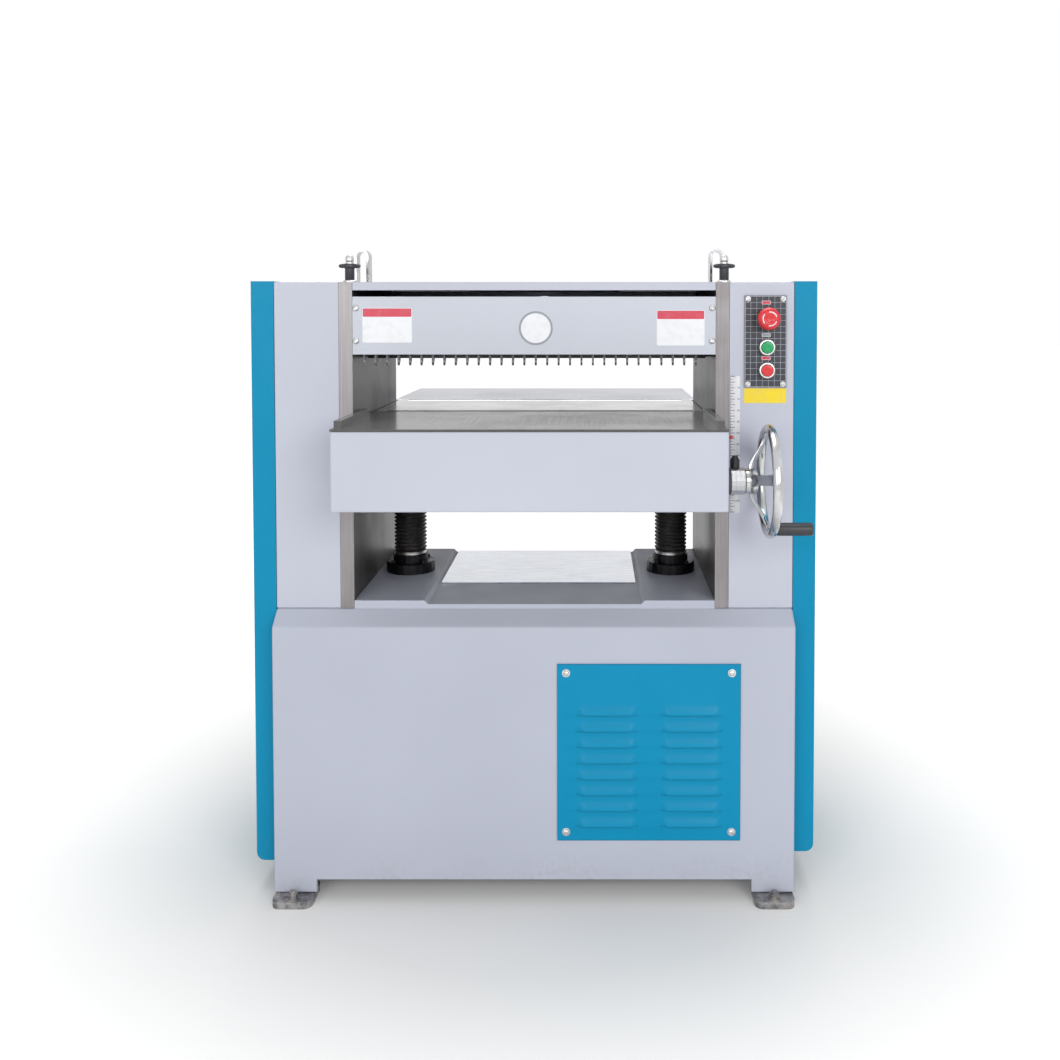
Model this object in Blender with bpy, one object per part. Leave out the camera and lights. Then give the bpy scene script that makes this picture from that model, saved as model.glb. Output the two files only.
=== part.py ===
"""Thickness planer: two columns on a cabinet base, a rising table, a cutter block between the
columns and a handwheel at the table's right. Metres, +Z up, seen from the front along +Y.
Heights are above the floor. Depths are measured back from the columns' front faces, and the
parent empty then centres the whole machine over its footprint."""

import math

import bmesh
import bpy
from mathutils import Matrix, Vector

# ---- Driving dimensions, in metres -------------------------------------------------------

# Clearances
TOUCH = 0.0003  # between faces that rest on each other
SLIDE = 0.0015  # between the table and the column guides
PAST = 0.01  # how far a cutting shape runs past the face that it cuts

# Base cabinet
HALF_WIDTH = 0.458
BASE_OVERHANG = 0.032  # the base stands out past the columns, front and rear
SHOULDER_TOP = 0.509
SHOULDER_DROP = 0.025
BASE_SKIRT = 0.036  # height of the skirt's lower edge between the legs
LEG_WIDTH = 0.075
BASE_WALL = 0.010
PAD_RISE = 0.014  # the pads under the screws, above the shoulder
FLOOR_RISE = 0.0075  # the base's top between the pads, above the shoulder
FLOOR_PLATE_DEPTH = 0.270
FLOOR_PLATE_SHEET = 0.003
PAD_REACH = 0.062  # from a screw's axis to its pad's inner edge
PLATE_MARGIN = 0.011  # from a pad to the floor plate
FLOOR_PLATE_FRONT = 0.139

# Feet and anchor bolts
FOOT_PLATE = 0.012
FOOT_WIDTH = 0.070
FOOT_REACH = 0.031  # how far a foot sticks out past the base
FOOT_TUCK = 0.045  # how far a foot lies under its leg
ANCHOR_RADIUS = 0.0055
ANCHOR_HEAD = 0.0085
ANCHOR_HEAD_RISE = 0.009

# Columns and their machined guides
THROAT_HALF = 0.320
COLUMN_DEPTH = 0.412
COLUMN_TOP = 1.0875
COLUMN_WALL = 0.010
GUIDE_THICKNESS = 0.008
GUIDE_FACE = 0.024  # width of the guide's strip on the column front

# Side covers
COVER_REACH = 0.040
COVER_SHEET = 0.0025
COVER_RISE = 0.0015  # above the column's top
LEFT_COVER_BOTTOM = 0.054
RIGHT_COVER_BOTTOM = 0.070
COVER_CORNER = 0.014

# Louvred panel
PANEL_X = (0.041, 0.362)
PANEL_Z = (0.107, 0.420)
PANEL_SHEET = 0.0022
PANEL_LAP = 0.024  # the panel's lap over the window's edge
LOUVRE_LENGTH = 0.107
LOUVRE_HEIGHT = 0.018
LOUVRE_BULGE = 0.007
LOUVRE_SHEET = 0.0015
LOUVRE_ROWS = 8
LOUVRE_PITCH = 0.0282
LOUVRE_COLUMNS = (0.1285, 0.2765)
LOUVRE_FIRST = 0.133

# Table
TABLE_TOP = 0.844
TABLE_THICKNESS = 0.028
TABLE_FRONT = -0.148
TABLE_LIP = 0.0035  # thin machined edge that covers the apron's upper edge
APRON_LAP = 0.005  # past the throat's wall, each side
APRON_HALF = THROAT_HALF + APRON_LAP
APRON_BACK = -0.004
APRON_HEIGHT = 0.136
APRON_WALL = 0.012
BED_OVERHANG = 0.048  # behind the columns
BED_REAR = COLUMN_DEPTH + BED_OVERHANG
STRIP_WIDTH = 0.012
STRIP_HEIGHT = 0.014
STRIP_REAR = 0.074
STRIP_INSET = 0.0005  # from the bed's edges
EXTENSION_LAP = 0.010  # past the throat's wall, each side
EXTENSION_HALF = THROAT_HALF + EXTENSION_LAP
EXTENSION_REAR = 0.790
ARM_INSET = 0.120  # from the throat's wall to an arm's middle
ARM_WIDTH = 0.030
ARM_DEPTH = 0.020
ARM_FRONT = 0.300
ARM_REAR = 0.740
TABLE_TRAVEL = 0.094  # up and down from the height shown

# Bed rollers
BED_ROLLER_RADIUS = 0.0125
BED_ROLLER_INSET = 0.022  # from the throat's wall
BED_ROLLER_HALF = THROAT_HALF - BED_ROLLER_INSET
BED_ROLLER_PROUD = 0.0004
BED_ROLLER_JOURNAL = 0.005
BED_ROLLER_REAR_INSET = 0.027  # from the bed's rear edge
BED_ROLLER_Y = {"front_bed_roller": 0.180, "rear_bed_roller": BED_REAR - BED_ROLLER_REAR_INSET}
ROLLER_SLOT = 0.029
JOURNAL_LENGTH = 0.008

# Lift: screws, bellows, chain and worm box
SCREW_INSET = 0.062  # from the throat's wall to a screw's axis
SCREW_X = THROAT_HALF - SCREW_INSET
SCREW_Y = 0.225
SCREW_RADIUS = 0.0175
SCREW_STAY = 0.0243  # of a screw below its flange with the table at its highest
FLANGE_RADIUS = 0.0475
FLANGE_HEIGHT = 0.020
NECK_RADIUS = 0.034
NECK_HEIGHT = 0.014
FLANGE_SCREW_CIRCLE = 0.041
FLANGE_SCREW_RADIUS = 0.0045
FLANGE_SCREW_HEAD = 0.005
BOSS_RADIUS = 0.030
BOSS_HEIGHT = 0.024
LIFT_SPROCKET_RADIUS = 0.024
LIFT_SPROCKET_WIDTH = 0.008
BELLOWS_CREST = 0.032
BELLOWS_VALLEY = 0.026
BELLOWS_BORE = 0.021
BELLOWS_RIBS = 20
BELLOWS_SIDES = 12
CHAIN_THICKNESS = 0.005

# Handwheel
WHEEL_Y = -0.105
WHEEL_Z = 0.753
WHEEL_RADIUS = 0.087  # to the middle of the rim's section
RIM_RADIUS = 0.008
RIM_FACETS = 6
RIM_OFFSET = 0.077  # from the throat's wall to the middle of the rim
RIM_X = THROAT_HALF + RIM_OFFSET
HUB_START = 0.036  # from the throat's wall
HUB_LENGTH = 0.020
HUB_CROWN = 0.003
HUB_RADIUS = 0.021
SPOKE_WIDTH = 0.022
SPOKE_THICKNESS = 0.007
SPOKE_TILT = 10.0  # degrees, the front spoke above level
WHEEL_SHAFT = 0.009
WORM_BOX_REACH = (0.043, 0.044)  # either side of the right screw
WORM_BOX_FLOOR = 0.012
WORM_BOX_HALF = 0.036
WORM_BOSS_RADIUS = 0.0225
WORM_SPINDLE = 0.008
WORM_SPINDLE_Z = (WHEEL_Z + 0.0143, TABLE_TOP - TABLE_THICKNESS - 0.0065)
GRIP_RADIUS = 0.011
GRIP_LENGTH = 0.064
GRIP_STANDOFF = 0.010
GRIP_PIN = 0.004
GRIP_DROP = 0.081  # below the wheel's axis
LOCK_SCREW_OFFSET = 0.020  # from the throat's wall
LOCK_SCREW_X = THROAT_HALF + LOCK_SCREW_OFFSET
LOCK_SCREW_RADIUS = 0.004
LOCK_SCREW_KNOB = 0.008
LOCK_SCREW_RISE = 0.020
LOCK_SCREW_BORE = 0.040

# Cutter block and feed rollers
CUT_Y = 0.215
CUT_Z = 1.002
CUT_RADIUS = 0.0515
KNIFE_PROUD = 0.0012
KNIFE_THICKNESS = 0.003
KNIFE_GROOVE = 0.011
KNIFE_DEPTH = 0.016
KNIFE_COUNT = 4
CUT_INSET = 0.006  # from the throat's wall
CUT_HALF = THROAT_HALF - CUT_INSET
CUT_SHAFT = 0.0175
BEARING_RADIUS = 0.045
BEARING_REACH = 0.036  # from a guide's inner face outwards
ROLLER_RADIUS = 0.036
ROLLER_INSET = 0.008  # from the throat's wall
ROLLER_HALF = THROAT_HALF - ROLLER_INSET
ROLLER_SHAFT = 0.012
ROLLER_BOTTOM = 0.949
INFEED_Y = 0.100
OUTFEED_Y = 0.325
ROLLER_BLOCK = 0.028  # half the side of a roller's bearing block
ROLLER_BLOCK_WIDTH = 0.024
CARRIER_STRAP = 0.020
BREAKER_Y = (0.139, 0.157)
BREAKER_BOTTOM = 0.9505
PRESSURE_BAR_Y = (0.270, 0.286)
BAR_TOP = 1.036

# Cutter drive, left
PULLEY_STANDOFF = 0.0075  # from the base's left side to the pulleys
PULLEY_WIDTH = 0.0275
PULLEY_X = (-(HALF_WIDTH + PULLEY_STANDOFF + PULLEY_WIDTH), -(HALF_WIDTH + PULLEY_STANDOFF))
BELT_WIDTH = 0.011
BELT_HEIGHT = 0.008
BELT_SPACING = 0.013
CUT_PULLEY_RADIUS = 0.050
MOTOR_PULLEY_RADIUS = 0.082
PULLEY_RIM = 0.003
MOTOR_Y = 0.206
MOTOR_Z = 0.200
MOTOR_RADIUS = 0.085
MOTOR_INSET = 0.043  # from the base's left side
MOTOR_LENGTH = 0.335
MOTOR_X = (MOTOR_INSET - HALF_WIDTH, MOTOR_INSET + MOTOR_LENGTH - HALF_WIDTH)
MOTOR_SHAFT_GRIP = 0.020  # how far the pulley's shaft reaches into the motor
MOTOR_BORE = 0.030
MOTOR_FOOT_INSET = 0.050
MOTOR_SHAFT = 0.014
MOTOR_SHAFT_HOLE = 0.060  # through the base's left wall
MOUNT_PLATE_Z = (0.085, 0.097)
MOUNT_PLATE_START = 0.010  # from the motor's left end
MOUNT_RAIL = 0.028

# Feed drive, right
FEED_SPROCKET_STANDOFF = 0.008  # from the base's right side to the sprockets
FEED_SPROCKET_WIDTH = 0.008
FEED_SPROCKET_START = HALF_WIDTH + FEED_SPROCKET_STANDOFF
FEED_SPROCKET_X = (FEED_SPROCKET_START, FEED_SPROCKET_START + FEED_SPROCKET_WIDTH)
FEED_SPROCKET_RADIUS = 0.033
GEARMOTOR_Z = 0.740
GEARMOTOR_Y = 0.206
GEARBOX_HALF = 0.056
GEARBOX_SPARE = 0.043  # what the column's wall and the cover's space take of its width
GEARBOX_BORE = 0.030
FEED_MOTOR_INSET = 0.0015  # the motor is this much slimmer than its gearbox, each side
FEED_MOTOR_LENGTH = 0.105
FEED_SHAFT = 0.010

# Guard plate, fingers and hood
GUARD_Z = (0.960, 1.062)
GUARD_SHEET = 0.004
BEAM_DEPTH = 0.022
BEAM_Z = (1.000, 1.056)
FINGER_ROD_Y = 0.022
FINGER_ROD_Z = 0.985
FINGER_ROD_RADIUS = 0.005
FINGER_COUNT = 30
FINGER_INSET = (0.0175, 0.0338)  # from the throat's left and right walls
FINGER_FIRST = FINGER_INSET[0] - THROAT_HALF
FINGER_PITCH = (2 * THROAT_HALF - sum(FINGER_INSET)) / (FINGER_COUNT - 1)
FINGER_THICKNESS = 0.0035
FINGER_LENGTH = 0.045  # rod to tip
FINGER_EYE = 0.009
HOOD_FRONT_DROP = 0.0145
HOOD_SHEET = 0.003
HOOD_INSET = 0.010  # from the columns' rear faces
HOOD_REAR = COLUMN_DEPTH - HOOD_INSET
HINGE_INSET = 0.003
HINGE_Y = COLUMN_DEPTH - HINGE_INSET
HINGE_RADIUS = 0.006
HINGE_PIN = 0.003
HINGE_HALF = 0.100
KNUCKLE_LENGTH = 0.060
CHIP_HOOD_INSET = (0.046, 0.012)  # its front and back, from the columns' rear faces
CHIP_HOOD_Y = tuple(COLUMN_DEPTH - inset for inset in CHIP_HOOD_INSET)
CHIP_HOOD_BOTTOM = 0.985
CHIP_HOOD_CLEARANCE = 0.006  # below the top hood's sheet
PORT_RADIUS = 0.0435
PORT_LENGTH = 0.050
PORT_Z = 1.0295

# Top hardware
KNOB_OFFSET = 0.0265  # from the throat's wall
KNOB_X = THROAT_HALF + KNOB_OFFSET
KNOB_COLLAR = 0.013
KNOB_COLLAR_RISE = 0.006
KNOB_STUD = 0.0055
KNOB_HUB = 0.0085
KNOB_RISE = 0.0535  # above the column's top
KNOB_HUB_HEIGHT = 0.024
KNOB_WING_SPAN = 0.040
KNOB_WING = 0.007
KNOB_WING_HEIGHT = 0.010
BAIL_OFFSET = 0.024  # from the throat's wall
BAIL_X = THROAT_HALF + BAIL_OFFSET
BAIL_Y = 0.203
BAIL_RISE = 0.0695  # above the column's top
BAIL_WIDTH = 0.028
BAIL_STRAP = 0.005
BAIL_DEPTH = 0.032
BAIL_FOOT = 0.010

# Control panel on the right column
CONTROL_GAP = 0.007  # from the depth scale to the panel
CONTROL_INSET = 0.014  # from the column's outer face
CONTROL_Z = (0.902, 1.064)
CONTROL_SHEET = 0.003
CONTROL_EDGE_SHARE = 10 / 74  # of the panel's width, from its edge to the window behind it
BUTTON_OFFSET = 0.0016  # from the panel's centre line
BUTTON_DROP = {"estop_button": 0.0410, "start_button": 0.0910, "stop_button": 0.1314}
BEZEL_RADIUS = 0.0145
BEZEL_RISE = 0.011
BUTTON_RADIUS = 0.0105
BUTTON_PROUD = 0.004
BUTTON_TRAVEL = 0.003
BUTTON_STEM = 0.006
BUTTON_TAIL = 0.012  # length of a button's stem inside the column
ESTOP_RADIUS = 0.020
ESTOP_RISE = 0.036
ESTOP_HEAD = 0.016

# Depth scale
SCALE_OFFSET = 0.0265  # from the throat's wall
SCALE_WIDTH = 0.0165
SCALE_X = (THROAT_HALF + SCALE_OFFSET, THROAT_HALF + SCALE_OFFSET + SCALE_WIDTH)
SCALE_Z = (0.680, 0.922)
SCALE_SHEET = 0.0015
POINTER_Z = 0.815
POINTER_HEIGHT = 0.007

# ---- Sizes worked out from those ---------------------------------------------------------

PAD_INNER = SCREW_X - PAD_REACH
FLOOR_PLATE_SIZE = (2 * (PAD_INNER - PLATE_MARGIN), FLOOR_PLATE_DEPTH, FLOOR_PLATE_SHEET)
KNOB_TOP = COLUMN_TOP + KNOB_RISE
BAIL_TOP = COLUMN_TOP + BAIL_RISE
COVER_TOP = COLUMN_TOP + COVER_RISE
CONTROL_X = (SCALE_X[1] + CONTROL_GAP, HALF_WIDTH - CONTROL_INSET)
CONTROL_EDGE = (CONTROL_X[1] - CONTROL_X[0]) * CONTROL_EDGE_SHARE
BUTTON_X = sum(CONTROL_X) / 2 + BUTTON_OFFSET
BUTTON_Z = {name: CONTROL_Z[1] - drop for name, drop in BUTTON_DROP.items()}
CENTRE_SHIFT = -(WHEEL_Y - WHEEL_RADIUS - RIM_RADIUS + EXTENSION_REAR) / 2
BASE_FRONT = -BASE_OVERHANG
BASE_REAR = COLUMN_DEPTH + BASE_OVERHANG
SHOULDER_BOTTOM = SHOULDER_TOP - SHOULDER_DROP
PAD_TOP = SHOULDER_TOP + PAD_RISE
FLOOR_TOP = SHOULDER_TOP + FLOOR_RISE
COLUMN_INNER = THROAT_HALF + GUIDE_THICKNESS + TOUCH
CAVITY_INNER = COLUMN_INNER + COLUMN_WALL
COLUMN_FOOT = SHOULDER_TOP + TOUCH
COVER_INNER = HALF_WIDTH + TOUCH
COVER_OUTER = HALF_WIDTH + COVER_REACH
BED_HALF = THROAT_HALF - SLIDE
BED_UNDERSIDE = TABLE_TOP - TABLE_THICKNESS
APRON_TOP = TABLE_TOP - TABLE_LIP - TOUCH
APRON_BOTTOM = TABLE_TOP - APRON_HEIGHT
BOSS_BOTTOM = BED_UNDERSIDE - BOSS_HEIGHT
SPROCKET_TOP = BOSS_BOTTOM - TOUCH
SPROCKET_BOTTOM = SPROCKET_TOP - LIFT_SPROCKET_WIDTH
SCREW_TOP = BED_UNDERSIDE - TOUCH
FLANGE_BOTTOM = PAD_TOP + TOUCH
SCREW_BOTTOM = FLANGE_BOTTOM - TABLE_TRAVEL - SCREW_STAY
FLANGE_TOP = FLANGE_BOTTOM + FLANGE_HEIGHT
NECK_TOP = FLANGE_TOP + NECK_HEIGHT
BELLOWS_Z = (NECK_TOP + TOUCH, SPROCKET_BOTTOM - 2 * TOUCH)
ROLLER_Z = ROLLER_BOTTOM + ROLLER_RADIUS
BEARING_END = THROAT_HALF + BEARING_REACH
BLOCK_OUTER = CAVITY_INNER + TOUCH + ROLLER_BLOCK_WIDTH
BETWEEN_GUIDES = THROAT_HALF - TOUCH
HOOD_UNDERSIDE = COLUMN_TOP - HOOD_SHEET
HINGE_Z = COLUMN_TOP - HINGE_RADIUS - TOUCH
CHIP_HOOD_TOP = HOOD_UNDERSIDE - CHIP_HOOD_CLEARANCE
PULLEY_MIDDLE = sum(PULLEY_X) / 2
ARM_X = THROAT_HALF - ARM_INSET
HUB_X = (THROAT_HALF + HUB_START, THROAT_HALF + HUB_START + HUB_LENGTH)
WORM_BOX_X = (SCREW_X - WORM_BOX_REACH[0], SCREW_X + WORM_BOX_REACH[1])
WORM_BOSS_END = HUB_X[0] - 0.0005
GEARBOX_WIDTH = HALF_WIDTH - THROAT_HALF - GEARBOX_SPARE
FEED_MOTOR_RADIUS = GEARBOX_WIDTH / 2 - FEED_MOTOR_INSET
BOTH_SIDES = (-1, 1)


# ---- Modelling helpers -------------------------------------------------------------------


def remove_everything():
    for thing in list(bpy.data.objects):
        bpy.data.objects.remove(thing, do_unlink=True)


def scratch(mesh_builder):
    """A new object from a finished bmesh, with its faces turned outwards."""
    bmesh.ops.recalc_face_normals(mesh_builder, faces=mesh_builder.faces)
    mesh = bpy.data.meshes.new("shape")
    mesh_builder.to_mesh(mesh)
    mesh_builder.free()
    thing = bpy.data.objects.new("shape", mesh)
    bpy.context.scene.collection.objects.link(thing)
    return thing


def block(x, y, z):
    """A box between two limits on each axis."""
    builder = bmesh.new()
    size = [max(side) - min(side) for side in (x, y, z)]
    middle = [(side[0] + side[1]) / 2 for side in (x, y, z)]
    place = Matrix.Translation(middle) @ Matrix.Diagonal((*size, 1))
    bmesh.ops.create_cube(builder, size=1, matrix=place)
    return scratch(builder)


def along(axis, across, distance):
    """The point at a distance along an axis, with its two other coordinates in order."""
    point = list(across)
    point.insert("XYZ".index(axis), distance)
    return point


def prism(outline, axis, start, end):
    """A flat outline, given by its coordinates on the two other axes, extruded along one."""
    builder = bmesh.new()
    corners = [builder.verts.new(along(axis, point, start)) for point in outline]
    face = builder.faces.new(corners)
    side = bmesh.ops.extrude_face_region(builder, geom=[face])
    moved = [item for item in side["geom"] if isinstance(item, bmesh.types.BMVert)]
    shift = Vector(along(axis, (0, 0), end - start))
    bmesh.ops.translate(builder, verts=moved, vec=shift)
    return scratch(builder)


def turned(profile, axis, centre, sides=16, closed=False):
    """A profile of (radius, distance) points turned round an axis. A closed profile is a
    ring's; an open one starts and ends on the axis."""
    builder = bmesh.new()
    rings = []
    for radius, distance in profile:
        count = sides if radius > 0 else 1
        ring = []
        for step in range(count):
            angle = math.tau * (step + 0.5) / sides
            across = (centre[0] + radius * math.cos(angle), centre[1] + radius * math.sin(angle))
            ring.append(builder.verts.new(along(axis, across, distance)))
        rings.append(ring)
    pairs = list(zip(rings, rings[1:]))
    if closed:
        pairs.append((rings[-1], rings[0]))
    for first, second in pairs:
        for step in range(sides):
            after = (step + 1) % sides
            corners = [first[step % len(first)], first[after % len(first)]]
            corners += [second[after % len(second)], second[step % len(second)]]
            builder.faces.new(dict.fromkeys(corners))
    return scratch(builder)


def rod(radius, axis, centre, start, end, sides=16):
    profile = [(0, start), (radius, start), (radius, end), (0, end)]
    return turned(profile, axis, centre, sides)


def hole(radius, axis, centre, start, end, sides=16):
    """The cutter of a hole that a rod of this radius fits, whatever its number of sides."""
    return rod((radius + TOUCH) / math.cos(math.pi / sides), axis, centre, start, end, sides)


def tube(outer, bore, axis, centre, start, end, sides=16):
    """A ring round a rod of the bore's radius."""
    bore = (bore + TOUCH) / math.cos(math.pi / sides)
    profile = [(bore, start), (outer, start), (outer, end), (bore, end)]
    return turned(profile, axis, centre, sides, closed=True)


def applied(thing, kind, **settings):
    """The object with one modifier made final."""
    modifier = thing.modifiers.new(kind.title(), kind)
    for name, value in settings.items():
        setattr(modifier, name, value)
    graph = bpy.context.evaluated_depsgraph_get()
    mesh = bpy.data.meshes.new_from_object(thing.evaluated_get(graph))
    thing.modifiers.clear()
    thing.data = mesh
    return thing


def joined(things):
    """Separate solids, kept separate, in one object."""
    builder = bmesh.new()
    for thing in things:
        builder.from_mesh(thing.data)
        bpy.data.objects.remove(thing, do_unlink=True)
    return scratch(builder)


def combine(thing, tools, operation, solver):
    for tool in tools:
        applied(thing, "BOOLEAN", object=tool, operation=operation, solver=solver)
        bpy.data.objects.remove(tool, do_unlink=True)
    return thing


def fused(thing, *others, solver="EXACT"):
    return combine(thing, others, "UNION", solver)


def cut(thing, *tools, solver="EXACT"):
    """The shape less its tools. Shapes with many faces in line need the MANIFOLD solver."""
    return combine(thing, tools, "DIFFERENCE", solver)


def rounded(thing, width, segments=2):
    return applied(
        thing, "BEVEL", width=width, segments=segments, limit_method="ANGLE", angle_limit=0.6
    )


def mirrored(side, x):
    """A pair of limits on X on the left (-1) or right (1) side of the machine."""
    return tuple(sorted((side * x[0], side * x[1])))


def round_outline(width, height, corner, steps=4):
    """The corners of a rectangle about (0, 0) with round corners."""
    points = []
    for quarter in range(4):
        sign_x = 1 if quarter in (0, 3) else -1
        sign_y = 1 if quarter in (0, 1) else -1
        for step in range(steps + 1):
            angle = math.pi / 2 * (quarter + step / steps)
            points.append(
                (
                    sign_x * (width / 2 - corner) + corner * math.cos(angle),
                    sign_y * (height / 2 - corner) + corner * math.sin(angle),
                )
            )
    return points


def hull_of_circles(circles, grow, steps=8):
    """The outline of a belt round (a, b, radius) circles, listed anticlockwise. Its corners
    stand far enough out for its straight sides to clear the circles."""
    points = []
    count = len(circles)
    headings = []
    for number, (a, b, radius) in enumerate(circles):
        next_a, next_b, next_radius = circles[(number + 1) % count]
        span = math.hypot(next_a - a, next_b - b)
        lean = math.asin((radius - next_radius) / span)
        headings.append(math.atan2(next_b - b, next_a - a) - math.pi / 2 + lean)
    for number, (a, b, radius) in enumerate(circles):
        first = headings[number - 1]
        turn = (headings[number] - first) % math.tau
        reach = (radius + grow) / math.cos(turn / steps / 2)
        for step in range(steps + 1):
            angle = first + turn * step / steps
            points.append((a + reach * math.cos(angle), b + reach * math.sin(angle)))
    return points


def loop(circles, thickness, axis, start, end, steps=5):
    """A flat belt or chain that lies just outside its pulleys."""
    outer = prism(hull_of_circles(circles, TOUCH + thickness, steps), axis, start, end)
    inner = prism(hull_of_circles(circles, TOUCH, steps), axis, start - PAST, end + PAST)
    return cut(outer, inner)


# ---- Materials ---------------------------------------------------------------------------


def finish_of(name, colour, roughness, metallic=0.0):
    material = bpy.data.materials.new(name)
    material.use_nodes = True
    shader = material.node_tree.nodes["Principled BSDF"]
    shader.inputs["Base Color"].default_value = (*colour, 1)
    shader.inputs["Roughness"].default_value = roughness
    shader.inputs["Metallic"].default_value = metallic
    material.diffuse_color = (*colour, 1)
    return material


def make_materials():
    return {
        "grey_paint": finish_of("grey_paint", (0.58, 0.59, 0.67), 0.45),
        "teal_paint": finish_of("teal_paint", (0.0, 0.27, 0.46), 0.4),
        "machined_iron": finish_of("machined_iron", (0.45, 0.44, 0.43), 0.35, 0.9),
        "bright_steel": finish_of("bright_steel", (0.66, 0.67, 0.69), 0.22, 1.0),
        "dark_steel": finish_of("dark_steel", (0.09, 0.09, 0.10), 0.45, 0.8),
        "chrome": finish_of("chrome", (0.78, 0.78, 0.79), 0.10, 1.0),
        "galvanised_steel": finish_of("galvanised_steel", (0.62, 0.62, 0.62), 0.5, 0.7),
        "black_rubber": finish_of("black_rubber", (0.015, 0.015, 0.016), 0.7),
        "black_plastic": finish_of("black_plastic", (0.02, 0.02, 0.022), 0.4),
        "motor_paint": finish_of("motor_paint", (0.10, 0.13, 0.17), 0.5),
        "scale_strip": finish_of("scale_strip", (0.75, 0.75, 0.76), 0.4),
        "red_plastic": finish_of("red_plastic", (0.70, 0.03, 0.02), 0.35),
        "green_plastic": finish_of("green_plastic", (0.0, 0.32, 0.09), 0.35),
    }


def node(name, thing, material, pivot=(0, 0, 0)):
    """Name a finished shape, give it its finish and put its origin on its own pivot."""
    thing.name = name
    thing.data.name = name
    thing.data.transform(Matrix.Translation(-Vector(pivot)))
    thing.location = pivot
    thing.parent = bpy.data.objects["planer"]
    thing.data.materials.clear()
    thing.data.materials.append(MATERIALS[material])
    thing.data.shade_smooth()
    thing.data.set_sharp_from_angle(angle=math.radians(35))
    return thing


# ---- Base --------------------------------------------------------------------------------


def base_cabinet():
    """A welded cabinet with sloping shoulders, open underneath, standing on four legs."""
    end_profile = [
        (BASE_FRONT, FOOT_PLATE + TOUCH),
        (BASE_REAR, FOOT_PLATE + TOUCH),
        (BASE_REAR, SHOULDER_BOTTOM),
        (COLUMN_DEPTH, SHOULDER_TOP),
        (0, SHOULDER_TOP),
        (BASE_FRONT, SHOULDER_BOTTOM),
    ]
    body = rounded(prism(end_profile, "X", -HALF_WIDTH, HALF_WIDTH), 0.003)
    slope = PAD_RISE - FLOOR_RISE
    inner = PAD_INNER - slope
    sunk = SHOULDER_TOP - 0.008
    top_profile = [
        (-BETWEEN_GUIDES, sunk),
        (BETWEEN_GUIDES, sunk),
        (BETWEEN_GUIDES, PAD_TOP),
        (PAD_INNER, PAD_TOP),
        (inner, FLOOR_TOP),
        (-inner, FLOOR_TOP),
        (-PAD_INNER, PAD_TOP),
        (-BETWEEN_GUIDES, PAD_TOP),
    ]
    body = fused(body, prism(top_profile, "Y", 0, COLUMN_DEPTH))
    reach = HALF_WIDTH - BASE_WALL
    walls_y = (BASE_FRONT + BASE_WALL, BASE_REAR - BASE_WALL)
    body = cut(body, block((-reach, reach), walls_y, (-PAST, SHOULDER_BOTTOM)))
    between_legs = HALF_WIDTH - LEG_WIDTH
    gap_x = block((-between_legs, between_legs), (BASE_FRONT - PAST, BASE_REAR + PAST), (-PAST, BASE_SKIRT))
    legs_y = (BASE_FRONT + LEG_WIDTH, BASE_REAR - LEG_WIDTH)
    gap_y = block((-HALF_WIDTH - PAST, HALF_WIDTH + PAST), legs_y, (-PAST, BASE_SKIRT))
    window_x = (PANEL_X[0] + PANEL_LAP, PANEL_X[1] - PANEL_LAP)
    window_z = (PANEL_Z[0] + PANEL_LAP, PANEL_Z[1] - PANEL_LAP)
    window = block(window_x, (BASE_FRONT - PAST, BASE_FRONT + 2 * BASE_WALL), window_z)
    shaft_hole = rod(MOTOR_SHAFT_HOLE, "X", (MOTOR_Y, MOTOR_Z), -HALF_WIDTH - PAST, -reach + PAST)
    body = cut(body, gap_x, gap_y, window, shaft_hole)
    for side in BOTH_SIDES:
        centre = (side * SCREW_X, SCREW_Y)
        body = cut(body, rod(SCREW_RADIUS + 0.004, "Z", centre, SHOULDER_BOTTOM - PAST, PAD_TOP + PAST))
    return node("base_cabinet", body, "grey_paint")


def foot_places():
    """Each foot's name, its middle on X, the base's edge that it passes, and which way is out."""
    for side, side_name in ((-1, "left"), (1, "right")):
        for edge, out, edge_name in ((BASE_FRONT, -1, "front"), (BASE_REAR, 1, "rear")):
            x = side * (HALF_WIDTH - LEG_WIDTH / 2)
            yield f"{edge_name}_{side_name}_foot", x, edge, out


def feet():
    """Round-cornered floor plates, each with the head of its anchor bolt."""
    corner = 0.014
    for name, x, edge, out in foot_places():
        near = edge + out * FOOT_REACH
        far = edge - out * FOOT_TUCK
        middle = (near + far) / 2
        outline = [(x + a, middle + b) for a, b in round_outline(FOOT_WIDTH, abs(near - far), corner)]
        plate = prism(outline, "Z", 0, FOOT_PLATE)
        bolt_at = (x, edge + out * (FOOT_REACH - corner))
        top = FOOT_PLATE + ANCHOR_HEAD_RISE
        washer = rod(ANCHOR_HEAD * 1.35, "Z", bolt_at, FOOT_PLATE - 0.002, FOOT_PLATE + 0.002, 16)
        head = rod(ANCHOR_HEAD, "Z", bolt_at, FOOT_PLATE, top, 6)
        stud = rod(ANCHOR_RADIUS, "Z", bolt_at, FOOT_PLATE, top + 0.004, 12)
        node(name, fused(plate, washer, head, stud), "galvanised_steel")


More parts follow.
